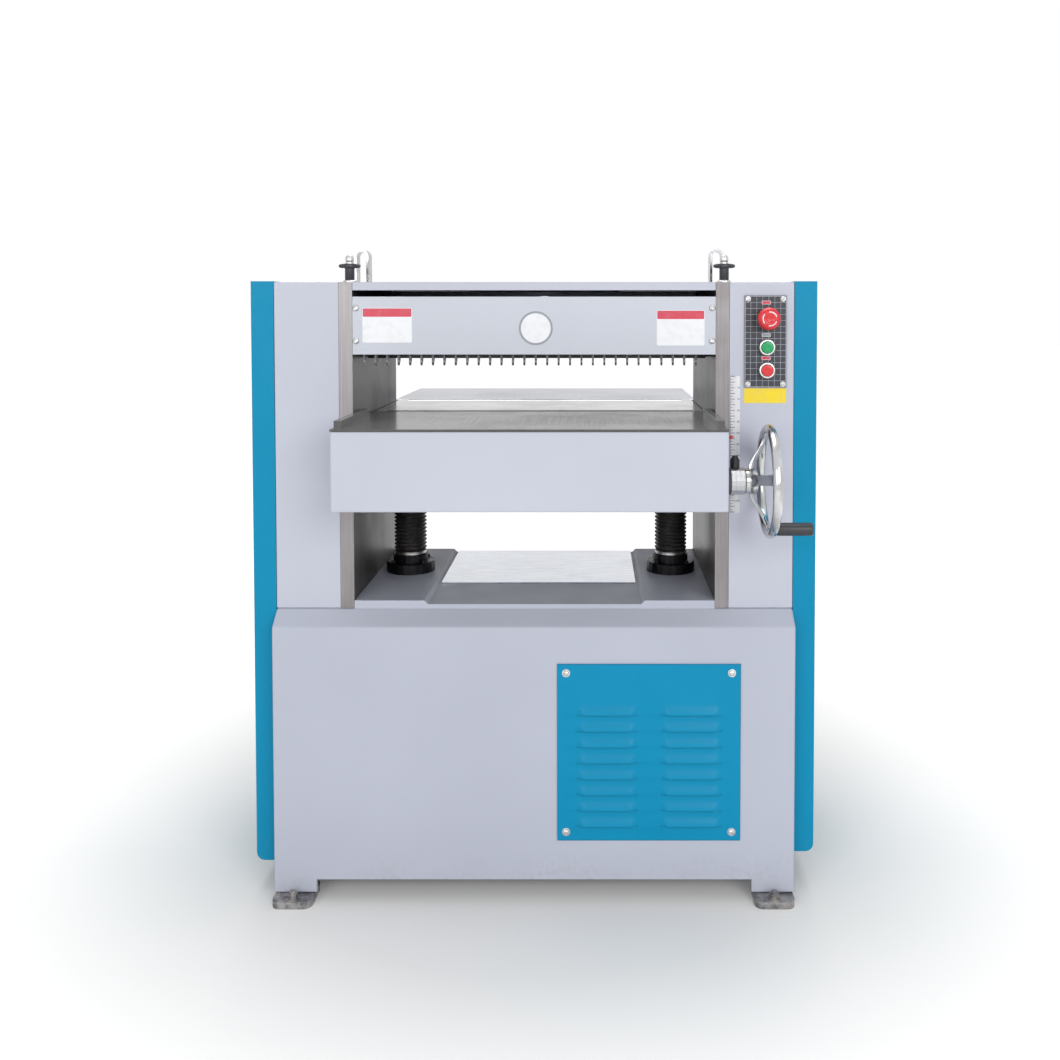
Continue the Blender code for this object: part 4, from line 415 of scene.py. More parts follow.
def washer(builder, place, facing, outer, inner, thickness, sides=24):
    edge = thickness * 0.3
    profile = [(inner, 0), (outer, 0), (outer, thickness - edge)]
    profile += [(outer - edge, thickness), (inner, thickness)]
    lathe(builder, profile, place, facing, sides, ring=True)


def at_the_corners(left, right, low, high, inset):
    """The places, across and up, of four screws at one inset from a plate's edges."""
    heights = (low + inset, high - inset)
    return [(x, z) for x in (left + inset, right - inset) for z in heights]


LOUVRE_EDGES = (LOUVRE_PANEL_LEFT, LOUVRE_PANEL_RIGHT, LOUVRE_PANEL_BOTTOM, LOUVRE_PANEL_TOP)
LOUVRE_SCREW_INSET = 0.0155
LOUVRE_WASHER = {"outer": 0.0072, "inner": 0.0030, "thickness": 0.0010}
LOUVRE_HEAD_SEAT = 0.0009  # just inside the washer, so that no light passes under the head
panel_screws = bmesh.new()
for screw_x, screw_z in at_the_corners(*LOUVRE_EDGES, LOUVRE_SCREW_INSET):
    screw_place = (screw_x, LOUVRE_PANEL_FACE, screw_z)
    washer(panel_screws, screw_place, FACING_FRONT, **LOUVRE_WASHER)
    head_place = (screw_x, LOUVRE_PANEL_FACE - LOUVRE_HEAD_SEAT, screw_z)
    round_head(panel_screws, head_place, FACING_FRONT, 0.0050, 0.0028)
finished("louvre_panel_screws", panel_screws, ZINC_PLATE, "frame")

# ---- Floor plate and column guides ----
# Flat bars and a sheet of steel, ground along their length and left bare and oiled. The oil has
# dried into brown patches on the guides, where the table's slides don't reach.


def make_ground_lines():
    """Fine parallel lines of a grinding wheel, with clouds of dried oil over them."""
    inputs = {
        "Bright": (0.7, 0.7, 0.7, 1.0),
        "Dark": (0.3, 0.3, 0.3, 1.0),
        "Oil": (0.2, 0.15, 0.1, 1.0),
        "Stretch": (300.0, 300.0, 6.0),
        "Oiled": 0.4,
        "Blotch": 8.0,
        "Gloss": 0.3,
    }
    outputs = {"Colour": "Color", "Roughness": "Float", "Height": "Float"}
    group, given, result = shader_group("ground lines", inputs, outputs)
    place = on_the_piece(group)
    sockets = {0: place, 1: given.outputs["Stretch"]}
    along_the_lines = add(group, "ShaderNodeVectorMath", sockets, operation="MULTIPLY").outputs[0]
    lines = noise(group, along_the_lines, 1.0, 3.0, 0.65)
    ground = ranged(group, lines, 0.30, 0.70)
    metal = mixed(group, ground, given.outputs["Dark"], given.outputs["Bright"])
    blotch = noise(group, place, given.outputs["Blotch"], 5.0, 0.6)
    oiled = worked(group, "MULTIPLY", ranged(group, blotch, 0.45, 0.68), given.outputs["Oiled"])
    group.links.new(mixed(group, oiled, metal, given.outputs["Oil"]), result.inputs["Colour"])
    uneven = ranged(group, lines, 0.3, 0.7, -0.03, 0.05)
    rough = worked(group, "ADD", uneven, given.outputs["Gloss"])
    rough = worked(group, "ADD", rough, worked(group, "MULTIPLY", oiled, 0.2))
    group.links.new(rough, result.inputs["Roughness"])
    group.links.new(lines, result.inputs["Height"])
    return group


GROUND_LINES = make_ground_lines()


def ground_metal(name, bright, dark, oil, stretch, oiled=0.4, blotch=8.0, gloss=0.3):
    """Bare metal with grinding lines along one direction. Its colours are as on a screen."""
    material, tree, shader = new_material(name, Metallic=1.0)
    colours = {"Bright": screen_colour(*bright), "Dark": screen_colour(*dark)}
    oil_film = {"Oil": screen_colour(*oil), "Oiled": oiled, "Blotch": blotch}
    ground = use(tree, GROUND_LINES, **colours, **oil_film, Stretch=stretch, Gloss=gloss)
    edges = use(tree, EDGE_WEAR, Amount=0.5, Width=0.001)
    colour = mixed(tree, edges["Mask"], ground["Colour"], screen_colour(226, 224, 220))
    tree.links.new(colour, shader.inputs["Base Color"])
    tree.links.new(ground["Roughness"], shader.inputs["Roughness"])
    raised(tree, shader, ground["Height"], 0.0001, edges["Normal"], 0.25)
    return material


GROUND_ACROSS = (30.0, 500.0, 30.0)
FLOOR_STEEL = ground_metal(
    "floor steel", (226, 229, 236), (192, 196, 204), (120, 124, 132), GROUND_ACROSS,
    oiled=0.16, blotch=7.0, gloss=0.10,
)
dress(FLOOR_STEEL, "floor_plate")


def shaded_along(material, axis, start, end, amount):
    """Paints shade on a metal beyond a plane, with a soft edge: darker and less reflective."""
    tree = material.node_tree
    shader = tree.nodes["Principled BSDF"]
    clean = shader.inputs["Base Color"].links[0].from_socket
    where = add(tree, "ShaderNodeSeparateXYZ", {0: on_the_piece(tree)}).outputs[axis]
    share = ranged(tree, where, start, end, 1.0, amount)
    sockets = {0: clean, "Scale": share}
    # Painted shade: the colour is darkened and, through Metallic, the metal's reflection dimmed.
    shade_darkened = add(tree, "ShaderNodeVectorMath", sockets, operation="SCALE").outputs[0]
    tree.links.new(shade_darkened, shader.inputs["Base Color"])
    tree.links.new(share, shader.inputs["Metallic"])
    shader.inputs["Specular IOR Level"].default_value = 0.03


GROUND_UPRIGHT = (600.0, 600.0, 5.0)
GUIDE_IRON = ground_metal(
    "guide iron", (140, 137, 139), (118, 115, 116), (92, 84, 80), GROUND_UPRIGHT,
    oiled=0.45, blotch=5.0, gloss=0.34,
)
# The guides' inner faces, behind the front strip, get painted shade: darker and less reflective.
shaded_along(GUIDE_IRON, "Y", -0.2946, -0.2925, 0.5)
dress(GUIDE_IRON, "left_column_guide", "right_column_guide")

# ---- Columns ----
# Two hollow iron castings bolted on the base. They are filled smooth and sprayed with the base's
# paint, which on the base is set a little darker as painted shade; they have less wear because
# nothing rubs against them.

COLUMN_GREY, GREY_UNDERCOAT = screen_colour(196, 199, 212), screen_colour(158, 158, 164)
COLUMN_ENAMEL = enamel("column enamel", COLUMN_GREY, GREY_UNDERCOAT, wear=0.3, scuffs=0.0)
dress(COLUMN_ENAMEL, "left_column", "right_column")

# ---- Side covers ----
# Folded steel sheets over the belt drive on the left and the feed chain on the right. Each is
# sprayed teal inside and out and held by screws through its rear edge.

COVER_FINISH = {"gloss": 0.38, "wear": 0.35, "scuffs": 0.35, "top": 0.14}
TEAL_ENAMEL = enamel("teal enamel", screen_colour(0, 139, 180), TEAL_UNDERCOAT, **COVER_FINISH)
dress(TEAL_ENAMEL, "left_belt_cover", "right_chain_cover")
COVER_SCREW_X = 0.4700
COVER_SCREW_HEIGHTS = (0.13, 0.36, 0.60, 0.84, 1.05)
COVER_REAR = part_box("right_chain_cover")[1][1]
cover_screws = bmesh.new()
for side in (-1, 1):
    for screw_z in COVER_SCREW_HEIGHTS:
        screw_place = (side * COVER_SCREW_X, COVER_REAR, screw_z)
        round_head(cover_screws, screw_place, FACING_REAR, 0.0042, 0.0022, 16)
finished("side_cover_screws", cover_screws, ZINC_PLATE, "frame")

# ---- Guard plate ----
# A folded plate across the throat in front of the cutter block, on four plated round-head
# bolts. Two blank white labels with a red band and a blank round one are stuck on its face.

GUARD_GREY = screen_colour(203, 207, 217)
GUARD_ENAMEL = enamel("guard enamel", GUARD_GREY, GREY_UNDERCOAT, wear=0.35, scuffs=0.0)
dress(GUARD_ENAMEL, "front_guard_plate")
GUARD_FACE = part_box("front_guard_plate")[0][1]
BOLT_X = 0.3135
BOLT_HEIGHTS = (0.984, 1.042)
guard_bolts = bmesh.new()
for bolt_x in (-BOLT_X, BOLT_X):
    for bolt_z in BOLT_HEIGHTS:
        round_head(guard_bolts, (bolt_x, GUARD_FACE, bolt_z), FACING_FRONT, 0.0056, 0.0040)
finished("guard_plate_bolts", guard_bolts, ZINC_PLATE, "frame")


def printed_vinyl(name, colour, gloss=0.35):
    """Thin printed vinyl, slightly uneven and dusty."""
    material, tree, shader = new_material(name)
    place = on_the_piece(tree)
    dust = ranged(tree, noise(tree, place, 90.0, 5.0), 0.45, 0.75, 0.0, 0.16)
    dusty = mixed(tree, dust, colour, screen_colour(176, 174, 172))
    tree.links.new(dusty, shader.inputs["Base Color"])
    tree.links.new(worked(tree, "ADD", dust, gloss), shader.inputs["Roughness"])
    raised(tree, shader, noise(tree, place, 300.0, 2.0), 0.0002)
    return material


WHITE_VINYL = printed_vinyl("white vinyl", screen_colour(238, 240, 244))
RED_VINYL = printed_vinyl("red vinyl", screen_colour(208, 62, 84))
YELLOW_VINYL = printed_vinyl("yellow vinyl", screen_colour(243, 214, 22))


def sticker(builder, x, z, face, thickness, corner=0.002, steps=4):
    """A thin label with rounded corners that lies on a face turned to the front."""
    outline = []
    for (across, up), start in (((1, 1), 0), ((0, 1), 90), ((0, 0), 180), ((1, 0), 270)):
        centre = (x[across] - corner * (2 * across - 1), z[up] - corner * (2 * up - 1))
        for step in range(steps + 1):
            angle = math.radians(start + 90 * step / steps)
            rounding = (corner * math.cos(angle), corner * math.sin(angle))
            outline.append((centre[0] + rounding[0], centre[1] + rounding[1]))
    near = [builder.verts.new((px, face - thickness, pz)) for px, pz in outline]
    far = [builder.verts.new((px, face, pz)) for px, pz in outline]
    joined(builder, (near, far))


LABEL_SHEET = 0.0004
LABEL_PRINT = 0.0001
LABEL_MARGIN = 0.0008
BAND_HEIGHT = 0.0147
LABEL_PRINT_FACE = GUARD_FACE - LABEL_SHEET
for label_name, label_x, label_z in (
    ("left", (-0.302, -0.215), (0.981, 1.042)),
    ("right", (0.216, 0.300), (0.976, 1.038)),
):
    blank = bmesh.new()
    sticker(blank, label_x, label_z, GUARD_FACE, LABEL_SHEET)
    finished(label_name + "_blank_label", blank, WHITE_VINYL, "frame")
    band = bmesh.new()
    band_x = (label_x[0] + LABEL_MARGIN, label_x[1] - LABEL_MARGIN)
    band_top = label_z[1] - LABEL_MARGIN
    band_z = (band_top - BAND_HEIGHT, band_top)
    sticker(band, band_x, band_z, LABEL_PRINT_FACE, LABEL_PRINT, 0.0012)
    finished(label_name + "_label_band", band, RED_VINYL, "frame")

ROUND_LABEL_PLACE = (0.003, GUARD_FACE, 1.0065)
ROUND_LABEL_RADIUS = 0.0300
ROUND_LABEL_INSIDE = 0.0262
round_label = bmesh.new()
disc_section = [(ROUND_LABEL_RADIUS, 0), (ROUND_LABEL_RADIUS, LABEL_SHEET), (0, LABEL_SHEET)]
lathe(round_label, disc_section, ROUND_LABEL_PLACE, FACING_FRONT, 64)
finished("round_blank_label", round_label, WHITE_VINYL, "frame")
round_rim = bmesh.new()
rim_radii = (ROUND_LABEL_INSIDE, ROUND_LABEL_RADIUS, ROUND_LABEL_RADIUS, ROUND_LABEL_INSIDE)
rim_heights = (LABEL_SHEET, LABEL_SHEET, LABEL_SHEET + LABEL_PRINT, LABEL_SHEET + LABEL_PRINT)
rim_section = list(zip(rim_radii, rim_heights))
lathe(round_rim, rim_section, ROUND_LABEL_PLACE, FACING_FRONT, 64, ring=True)
GREY_VINYL = printed_vinyl("grey vinyl", screen_colour(150, 155, 166))
finished("round_label_rim", round_rim, GREY_VINYL, "frame")

# ---- Top hood and rear chip hood ----
# A pressed lid hinged at the rear over the cutter block, and behind it a welded chute that
# takes the chips to a round port for the dust hose. Both are sprayed in the machine's grey.

dress(COLUMN_ENAMEL, "top_hood", "rear_chip_hood")


def moulded_rubber(name, colour, dust_colour, dust=0.3, gloss=0.5):
    """Moulded black rubber with dust on what faces up."""
    material, tree, shader = new_material(name, Specular_IOR_Level=0.4)
    place = on_the_piece(tree)
    facing = add(tree, "ShaderNodeNewGeometry").outputs["Normal"]
    up = add(tree, "ShaderNodeSeparateXYZ", {0: facing}).outputs["Z"]
    specks = ranged(tree, noise(tree, place, 70.0, 5.0), 0.35, 0.65, 0.0, dust)
    lying = worked(tree, "MULTIPLY", ranged(tree, up, 0.2, 0.9), specks)
    tree.links.new(mixed(tree, lying, colour, dust_colour), shader.inputs["Base Color"])
    tree.links.new(worked(tree, "ADD", lying, gloss), shader.inputs["Roughness"])
    raised(tree, shader, noise(tree, place, 600.0, 3.0), 0.0003)
    return material


SEAL_BLACK, SEAL_DUST = screen_colour(30, 30, 33), screen_colour(120, 116, 110)
SEAL_RUBBER = moulded_rubber("seal rubber", SEAL_BLACK, SEAL_DUST, gloss=0.7)
SEAL_END_X = 0.3185
SEAL_SECTION = [(0.0722, 1.0788), (0.0822, 1.0788), (0.0832, 1.0812), (0.0815, 1.0838)]
SEAL_SECTION += [(0.0772, 1.0842), (0.0730, 1.0838), (0.0716, 1.0812)]
seal = bmesh.new()
seal_ends = []
for end_x in (-SEAL_END_X, SEAL_END_X):
    seal_ends.append([seal.verts.new((end_x, y, z)) for y, z in SEAL_SECTION])
joined(seal, seal_ends)
finished("hood_rubber_seal", seal, SEAL_RUBBER, "frame")

# ---- Anti-kickback fingers ----
# Thirty plates cut from sheet steel, threaded on one rod. They are blackened by heat treatment
# and their tips are rubbed bright by the boards that pass under them.


def blued_steel(name, colour, bright, rubbed_below=None):
    """Heat-blackened steel, oily, with bright edges."""
    material, tree, shader = new_material(name, Metallic=0.85)
    place = on_the_piece(tree)
    oil = noise(tree, place, 35.0, 5.0)
    edges = use(tree, EDGE_WEAR, Amount=0.75, Width=0.0008, Patches=90.0)
    shade = tuple(level * 0.55 for level in colour[:3]) + (1.0,)
    skin = mixed(tree, ranged(tree, oil, 0.35, 0.65), shade, colour)
    bare = edges["Mask"]
    if rubbed_below is not None:
        height = add(tree, "ShaderNodeSeparateXYZ", {0: place}).outputs["Z"]
        rubbed = ranged(tree, height, rubbed_below + 0.008, rubbed_below, 0.0, 0.8)
        bare = worked(tree, "MAXIMUM", bare, rubbed)
    tree.links.new(mixed(tree, bare, skin, bright), shader.inputs["Base Color"])
    tree.links.new(ranged(tree, oil, 0.3, 0.7, 0.30, 0.52), shader.inputs["Roughness"])
    raised(tree, shader, noise(tree, place, 500.0, 3.0), 0.0002, edges["Normal"])
    return material


FINGER_BLUE, FINGER_BRIGHT = screen_colour(96, 96, 104), screen_colour(170, 168, 168)
FINGER_STEEL = blued_steel("finger steel", FINGER_BLUE, FINGER_BRIGHT, rubbed_below=0.942)
BLUED_STEEL = blued_steel("blued steel", screen_colour(70, 70, 76), screen_colour(150, 150, 152))
dress(FINGER_STEEL, "kickback_fingers")

# ---- Table ----
# A ribbed iron casting, planed and ground on top, between two raised side strips. Its front
# stands in a sheet apron sprayed grey, and a flat iron extension is bolted on behind.

GROUND_BACKWARDS = (500.0, 5.0, 500.0)
TABLE_IRON = ground_metal(
    "table iron", (186, 184, 185), (164, 161, 161), (120, 112, 108), GROUND_BACKWARDS,
    blotch=4.0, gloss=0.15,
)
# The front of the table bed gets painted shade: darker and less reflective towards the apron.
shaded_along(TABLE_IRON, "Y", -0.10, -0.135, 0.30)
dress(TABLE_IRON, "table_bed")
# The extension is a darker, bluish copy of the table's iron: painted shade with a painted bluish
# reflection.
SHADED_EXTENSION_IRON = ground_metal(
    "extension iron with painted shade", (162, 165, 176), (144, 146, 156), (118, 114, 114), GROUND_BACKWARDS,
    oiled=0.25, blotch=4.0, gloss=0.2,
)
dress(SHADED_EXTENSION_IRON, "rear_extension")
dress(COLUMN_ENAMEL, "table_apron")
GROUND_ROUND = (420.0, 60.0, 60.0)
ROLLER_STEEL = ground_metal(
    "roller steel", (222, 222, 224), (170, 170, 172), (110, 104, 100), GROUND_ROUND,
    oiled=0.2, blotch=20.0,
)
dress(ROLLER_STEEL, "front_bed_roller", "rear_bed_roller")

# ---- Lift: flanges, screws and bellows ----
# Each lead screw stands on a black iron flange, held on the base by four screws. A
# moulded rubber concertina, clipped at both ends, keeps the chips off the thread.

FLANGE_IRON = blued_steel("flange iron", screen_colour(44, 44, 48), screen_colour(120, 120, 124))
dress(FLANGE_IRON, "left_screw_flange", "right_screw_flange")


def make_lead_screw():
    """Steel with a rolled trapezoidal thread, greased."""
    material, tree, shader = new_material("greased thread", Metallic=1.0)
    place = on_the_piece(tree)
    sockets = {"Vector": place, "Scale": 31.4}
    threads = {"bands_direction": "Z", "wave_profile": "SIN"}
    turns = add(tree, "ShaderNodeTexWave", sockets, **threads).outputs[0]
    grease = ranged(tree, noise(tree, place, 30.0, 4.0), 0.4, 0.6)
    steel = mixed(tree, turns, screen_colour(110, 106, 98), screen_colour(196, 194, 188))
    colour = mixed(tree, worked(tree, "MULTIPLY", grease, 0.5), steel, screen_colour(94, 80, 56))
    tree.links.new(colour, shader.inputs["Base Color"])
    tree.links.new(ranged(tree, grease, 0.0, 1.0, 0.28, 0.5), shader.inputs["Roughness"])
    raised(tree, shader, turns, 0.002, None, 0.8)
    return material


GREASED_THREAD = make_lead_screw()
dress(GREASED_THREAD, "left_lead_screw", "right_lead_screw")

BELLOWS_BLACK, BELLOWS_DUST = screen_colour(34, 34, 37), screen_colour(150, 140, 126)
BELLOWS_RUBBER = moulded_rubber("bellows rubber", BELLOWS_BLACK, BELLOWS_DUST, gloss=0.36)
SCREW_X = 0.258
SCREW_Y = -0.070
BELLOWS_BOTTOM = 0.5576
BELLOWS_TOP = 0.7831
BELLOWS_BORE = 0.0215
CUFF_RADIUS = 0.0300
CUFF_HEIGHT = 0.007
FOLDS_INSET = 0.008
FOLDS_BOTTOM, FOLDS_TOP = BELLOWS_BOTTOM + FOLDS_INSET, BELLOWS_TOP - FOLDS_INSET
RIBS = 28
RIB_PITCH = (FOLDS_TOP - FOLDS_BOTTOM) / RIBS
RIB_SECTION = [(0.0, 0.0276), (0.16, 0.0280), (0.36, 0.0310), (0.46, 0.0318)]
RIB_SECTION += [(0.54, 0.0318), (0.64, 0.0310), (0.84, 0.0280)]
CLIP_HEIGHT = 0.0050
CLIP_INSET = 0.0008
CLIP_RADIUS, CLIP_BORE = 0.0308, 0.0302
folds = [(BELLOWS_BORE, BELLOWS_BOTTOM), (CUFF_RADIUS, BELLOWS_BOTTOM)]
folds.append((CUFF_RADIUS, BELLOWS_BOTTOM + CUFF_HEIGHT))
for rib in range(RIBS):
    rib_bottom = FOLDS_BOTTOM + rib * RIB_PITCH
    folds += [(radius, rib_bottom + share * RIB_PITCH) for share, radius in RIB_SECTION]
folds += [(CUFF_RADIUS, BELLOWS_TOP - CUFF_HEIGHT), (CUFF_RADIUS, BELLOWS_TOP)]
folds.append((BELLOWS_BORE, BELLOWS_TOP))
for side_name, screw_x in (("left", -SCREW_X), ("right", SCREW_X)):
    concertina = bmesh.new()
    lathe(concertina, folds, (screw_x, SCREW_Y, 0), FACING_UP, 40, ring=True)
    name = side_name + "_rubber_bellows"
    bellows = finished(name, concertina, BELLOWS_RUBBER, None, 60.0)
    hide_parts(side_name + "_bellows")
    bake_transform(bellows)
    for end_name, body, clip_z in (
        ("lower", "frame", BELLOWS_BOTTOM + CLIP_INSET),
        ("upper", "table", BELLOWS_TOP - CLIP_INSET - CLIP_HEIGHT),
    ):
        clip = bmesh.new()
        clip_place = (screw_x, SCREW_Y, clip_z)
        washer(clip, clip_place, FACING_UP, CLIP_RADIUS, CLIP_BORE, CLIP_HEIGHT, 40)
        clip_name = f"{side_name}_{end_name}_bellows_clip"
        finished(clip_name, clip, ZINC_PLATE, body)

# ---- Lift drive under the table ----
# An iron worm box bolted under the bed, its sprocket, and the roller chain that turns both
# lead screws together. The box is blackened; the chain is oiled steel.


def make_worm_iron():
    """Blackened iron, turned bright on the boss that the wheel's shaft runs in."""
    iron = blued_steel("worm box iron", screen_colour(88, 90, 96), screen_colour(160, 160, 164))
    tree = iron.node_tree
    shader = tree.nodes["Principled BSDF"]
    place = on_the_piece(tree)
    along = add(tree, "ShaderNodeSeparateXYZ", {0: place}).outputs["X"]
    on_the_boss = ranged(tree, along, 0.3326, 0.3330)
    sockets = {0: place, 1: (900.0, 8.0, 8.0)}
    round_the_boss = add(tree, "ShaderNodeVectorMath", sockets, operation="MULTIPLY").outputs[0]
    lines = noise(tree, round_the_boss, 1.0, 3.0)
    turned = mixed(tree, lines, screen_colour(150, 150, 154), screen_colour(206, 207, 210))
    blackened = shader.inputs["Base Color"].links[0].from_socket
    tree.links.new(mixed(tree, on_the_boss, blackened, turned), shader.inputs["Base Color"])
    tree.links.new(ranged(tree, on_the_boss, 0.0, 1.0, 0.5, 0.26), shader.inputs["Roughness"])
    return iron


dress(make_worm_iron(), "worm_box")
dress(BLUED_STEEL, "worm_sprocket")


def make_chain_steel():
    """Oiled roller chain, whose side plates and rollers come by turns along its run."""
    material, tree, shader = new_material("oiled chain", Metallic=1.0)
    place = on_the_piece(tree)
    cells = add(tree, "ShaderNodeTexVoronoi", {"Vector": place, "Scale": 105.0}, feature="F1")
    links_share = ranged(tree, cells.outputs["Distance"], 0.15, 0.5)
    colour = mixed(tree, links_share, screen_colour(150, 146, 138), screen_colour(46, 42, 38))
    tree.links.new(colour, shader.inputs["Base Color"])
    tree.links.new(ranged(tree, links_share, 0.0, 1.0, 0.3, 0.6), shader.inputs["Roughness"])
    raised(tree, shader, cells.outputs["Distance"], 0.002, None, 0.7)
    return material


CHAIN_STEEL = make_chain_steel()
dress(CHAIN_STEEL, "lift_chain", "feed_chain")

# ---- Handwheel, grip and lock screw ----
# A dished iron handwheel with three flat spokes, polished and chromed all over, on a shaft
# that runs into the worm box. Its grip is a turned black sleeve that spins on a pin.


def make_chrome():
    """Polished chrome with fine wiping marks and a little dulled film."""
    material, tree, shader = new_material("polished chrome", Metallic=1.0)
    place = on_the_piece(tree)
    film = noise(tree, place, 26.0, 5.0)
    edges = use(tree, EDGE_WEAR, Amount=0.3, Width=0.0008)
    clean, dulled = screen_colour(206, 207, 210), screen_colour(172, 171, 170)
    colour = mixed(tree, ranged(tree, film, 0.35, 0.7), clean, dulled)
    colour = mixed(tree, edges["Mask"], colour, screen_colour(140, 132, 124))
    tree.links.new(colour, shader.inputs["Base Color"])
    tree.links.new(ranged(tree, film, 0.3, 0.7, 0.07, 0.20), shader.inputs["Roughness"])
    raised(tree, shader, noise(tree, place, 140.0, 3.0), 0.0003, edges["Normal"], 0.15)
    return material


CHROME = make_chrome()
WHEEL_Y = -0.400
WHEEL_Z = 0.753
WHEEL_AXIS = (0, WHEEL_Y, WHEEL_Z)
RIM_X = 0.397
RIM_MIDDLE = 0.087  # from the wheel's axis to the middle of the rim's tube
RIM_TUBE = 0.0080
RIM_SIDES = 16
HUB_MIDDLE_X = 0.3665
SPOKE_START = 0.014
SPOKES = 3
SPOKE_STEPS = 12
SPOKE_CORNERS = 12
FIRST_SPOKE = 170.0  # degrees
SPOKE_HALF_WIDTH, SPOKE_WAIST = 0.0115, 0.0030
SPOKE_HALF_THICK, SPOKE_THINNING = 0.0040, 0.0008
GRIP_Z = WHEEL_Z - 0.081
wheel = bmesh.new()
rim_section = []
for step in range(RIM_SIDES):
    angle = math.tau * step / RIM_SIDES
    around = (RIM_MIDDLE + RIM_TUBE * math.cos(angle), RIM_X + RIM_TUBE * math.sin(angle))
    rim_section.append(around)
lathe(wheel, rim_section, WHEEL_AXIS, FACING_RIGHT, 96, ring=True)
hub_section = [(0, 0.2275), (0.009, 0.2275), (0.009, 0.3560), (0.0195, 0.3560), (0.0210, 0.3575)]
hub_section += [(0.0210, 0.3735), (0.0192, 0.3760), (0.0125, 0.3785), (0.0085, 0.3787)]
hub_section += [(0.0070, 0.3775), (0, 0.3775)]
lathe(wheel, hub_section, WHEEL_AXIS, FACING_RIGHT, 48)
pin_section = [(0.004, RIM_X), (0.004, 0.4660), (0.0032, 0.4668), (0, 0.4668)]
lathe(wheel, pin_section, (0, WHEEL_Y, GRIP_Z), FACING_RIGHT, 24)


def squared(share):
    """A sine or cosine swollen, so that a circle drawn with it becomes a rounded oblong."""
    return math.copysign(abs(share) ** 0.6, share)


for spoke in range(SPOKES):
    turn = math.radians(FIRST_SPOKE + 360 / SPOKES * spoke)
    outwards = Vector((0, math.cos(turn), math.sin(turn)))
    across = Vector((0, -math.sin(turn), math.cos(turn)))
    rows = []
    for step in range(SPOKE_STEPS + 1):
        share = step / SPOKE_STEPS
        reach = SPOKE_START + (RIM_MIDDLE - SPOKE_START) * share
        dish = (RIM_X - HUB_MIDDLE_X) * share * share * (3 - 2 * share)
        half_width = SPOKE_HALF_WIDTH - SPOKE_WAIST * math.sin(math.pi * share)
        half_thick = SPOKE_HALF_THICK - SPOKE_THINNING * share
        centre = Vector((HUB_MIDDLE_X + dish, WHEEL_Y, WHEEL_Z)) + outwards * reach
        row = []
        for corner in range(SPOKE_CORNERS):
            angle = math.tau * corner / SPOKE_CORNERS
            flat = Vector((squared(math.sin(angle)) * half_thick, 0, 0))
            wide = across * (squared(math.cos(angle)) * half_width)
            row.append(wheel.verts.new(centre + flat + wide))
        rows.append(row)
    joined(wheel, rows)
chromed_wheel = finished("chromed_handwheel", wheel, CHROME, "handwheel", 40.0)
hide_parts("handwheel")


def turned_plastic(name, colour, gloss):
    """Moulded or turned plastic with a fine grain, scratched pale along its edges."""
    material, tree, shader = new_material(name, Specular_IOR_Level=0.5)
    place = on_the_piece(tree)
    edges = use(tree, EDGE_WEAR, Amount=0.35, Width=0.0006, Patches=120.0)
    pale = tuple(min(1.0, level * 1.6 + 0.03) for level in colour[:3]) + (1.0,)
    cloud = ranged(tree, noise(tree, place, 40.0, 4.0), 0.35, 0.65, 0.0, 0.25)
    skin = mixed(tree, cloud, colour, tuple(level * 0.8 for level in colour[:3]) + (1.0,))
    tree.links.new(mixed(tree, edges["Mask"], skin, pale), shader.inputs["Base Color"])
    rough = worked(tree, "ADD", worked(tree, "MULTIPLY", cloud, 0.3), gloss)
    tree.links.new(rough, shader.inputs["Roughness"])
    raised(tree, shader, noise(tree, place, 260.0, 3.0), 0.0002, edges["Normal"])
    return material


BLACK_PLASTIC = turned_plastic("black plastic", screen_colour(46, 47, 52), 0.36)
GRIP_START = 0.407
grip = bmesh.new()
grip_section = [(0.0044, 0), (0.0080, 0), (0.0092, 0.0010), (0.0104, 0.0030), (0.0109, 0.0060)]
grip_section += [(0.0109, 0.0600), (0.0106, 0.0622), (0.0098, 0.0635), (0.0085, 0.0640)]
grip_section.append((0, 0.0640))
lathe(grip, grip_section, (GRIP_START, WHEEL_Y, GRIP_Z), FACING_RIGHT, 40)
turned_grip = finished("turned_grip", grip, BLACK_PLASTIC, "grip")
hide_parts("handwheel_grip")
dress(BLUED_STEEL, "lock_screw")

# ---- Depth scale and pointer ----
# An aluminium strip riveted to the right column, with anodised marks and numbers in
# millimetres from zero at the top. The red pointer is screwed to the table and slides past it.

SCALE_ZERO = 0.9215  # height of the mark for no thickness
SCALE_LEFT, SCALE_FACE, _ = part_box("depth_scale")[0]


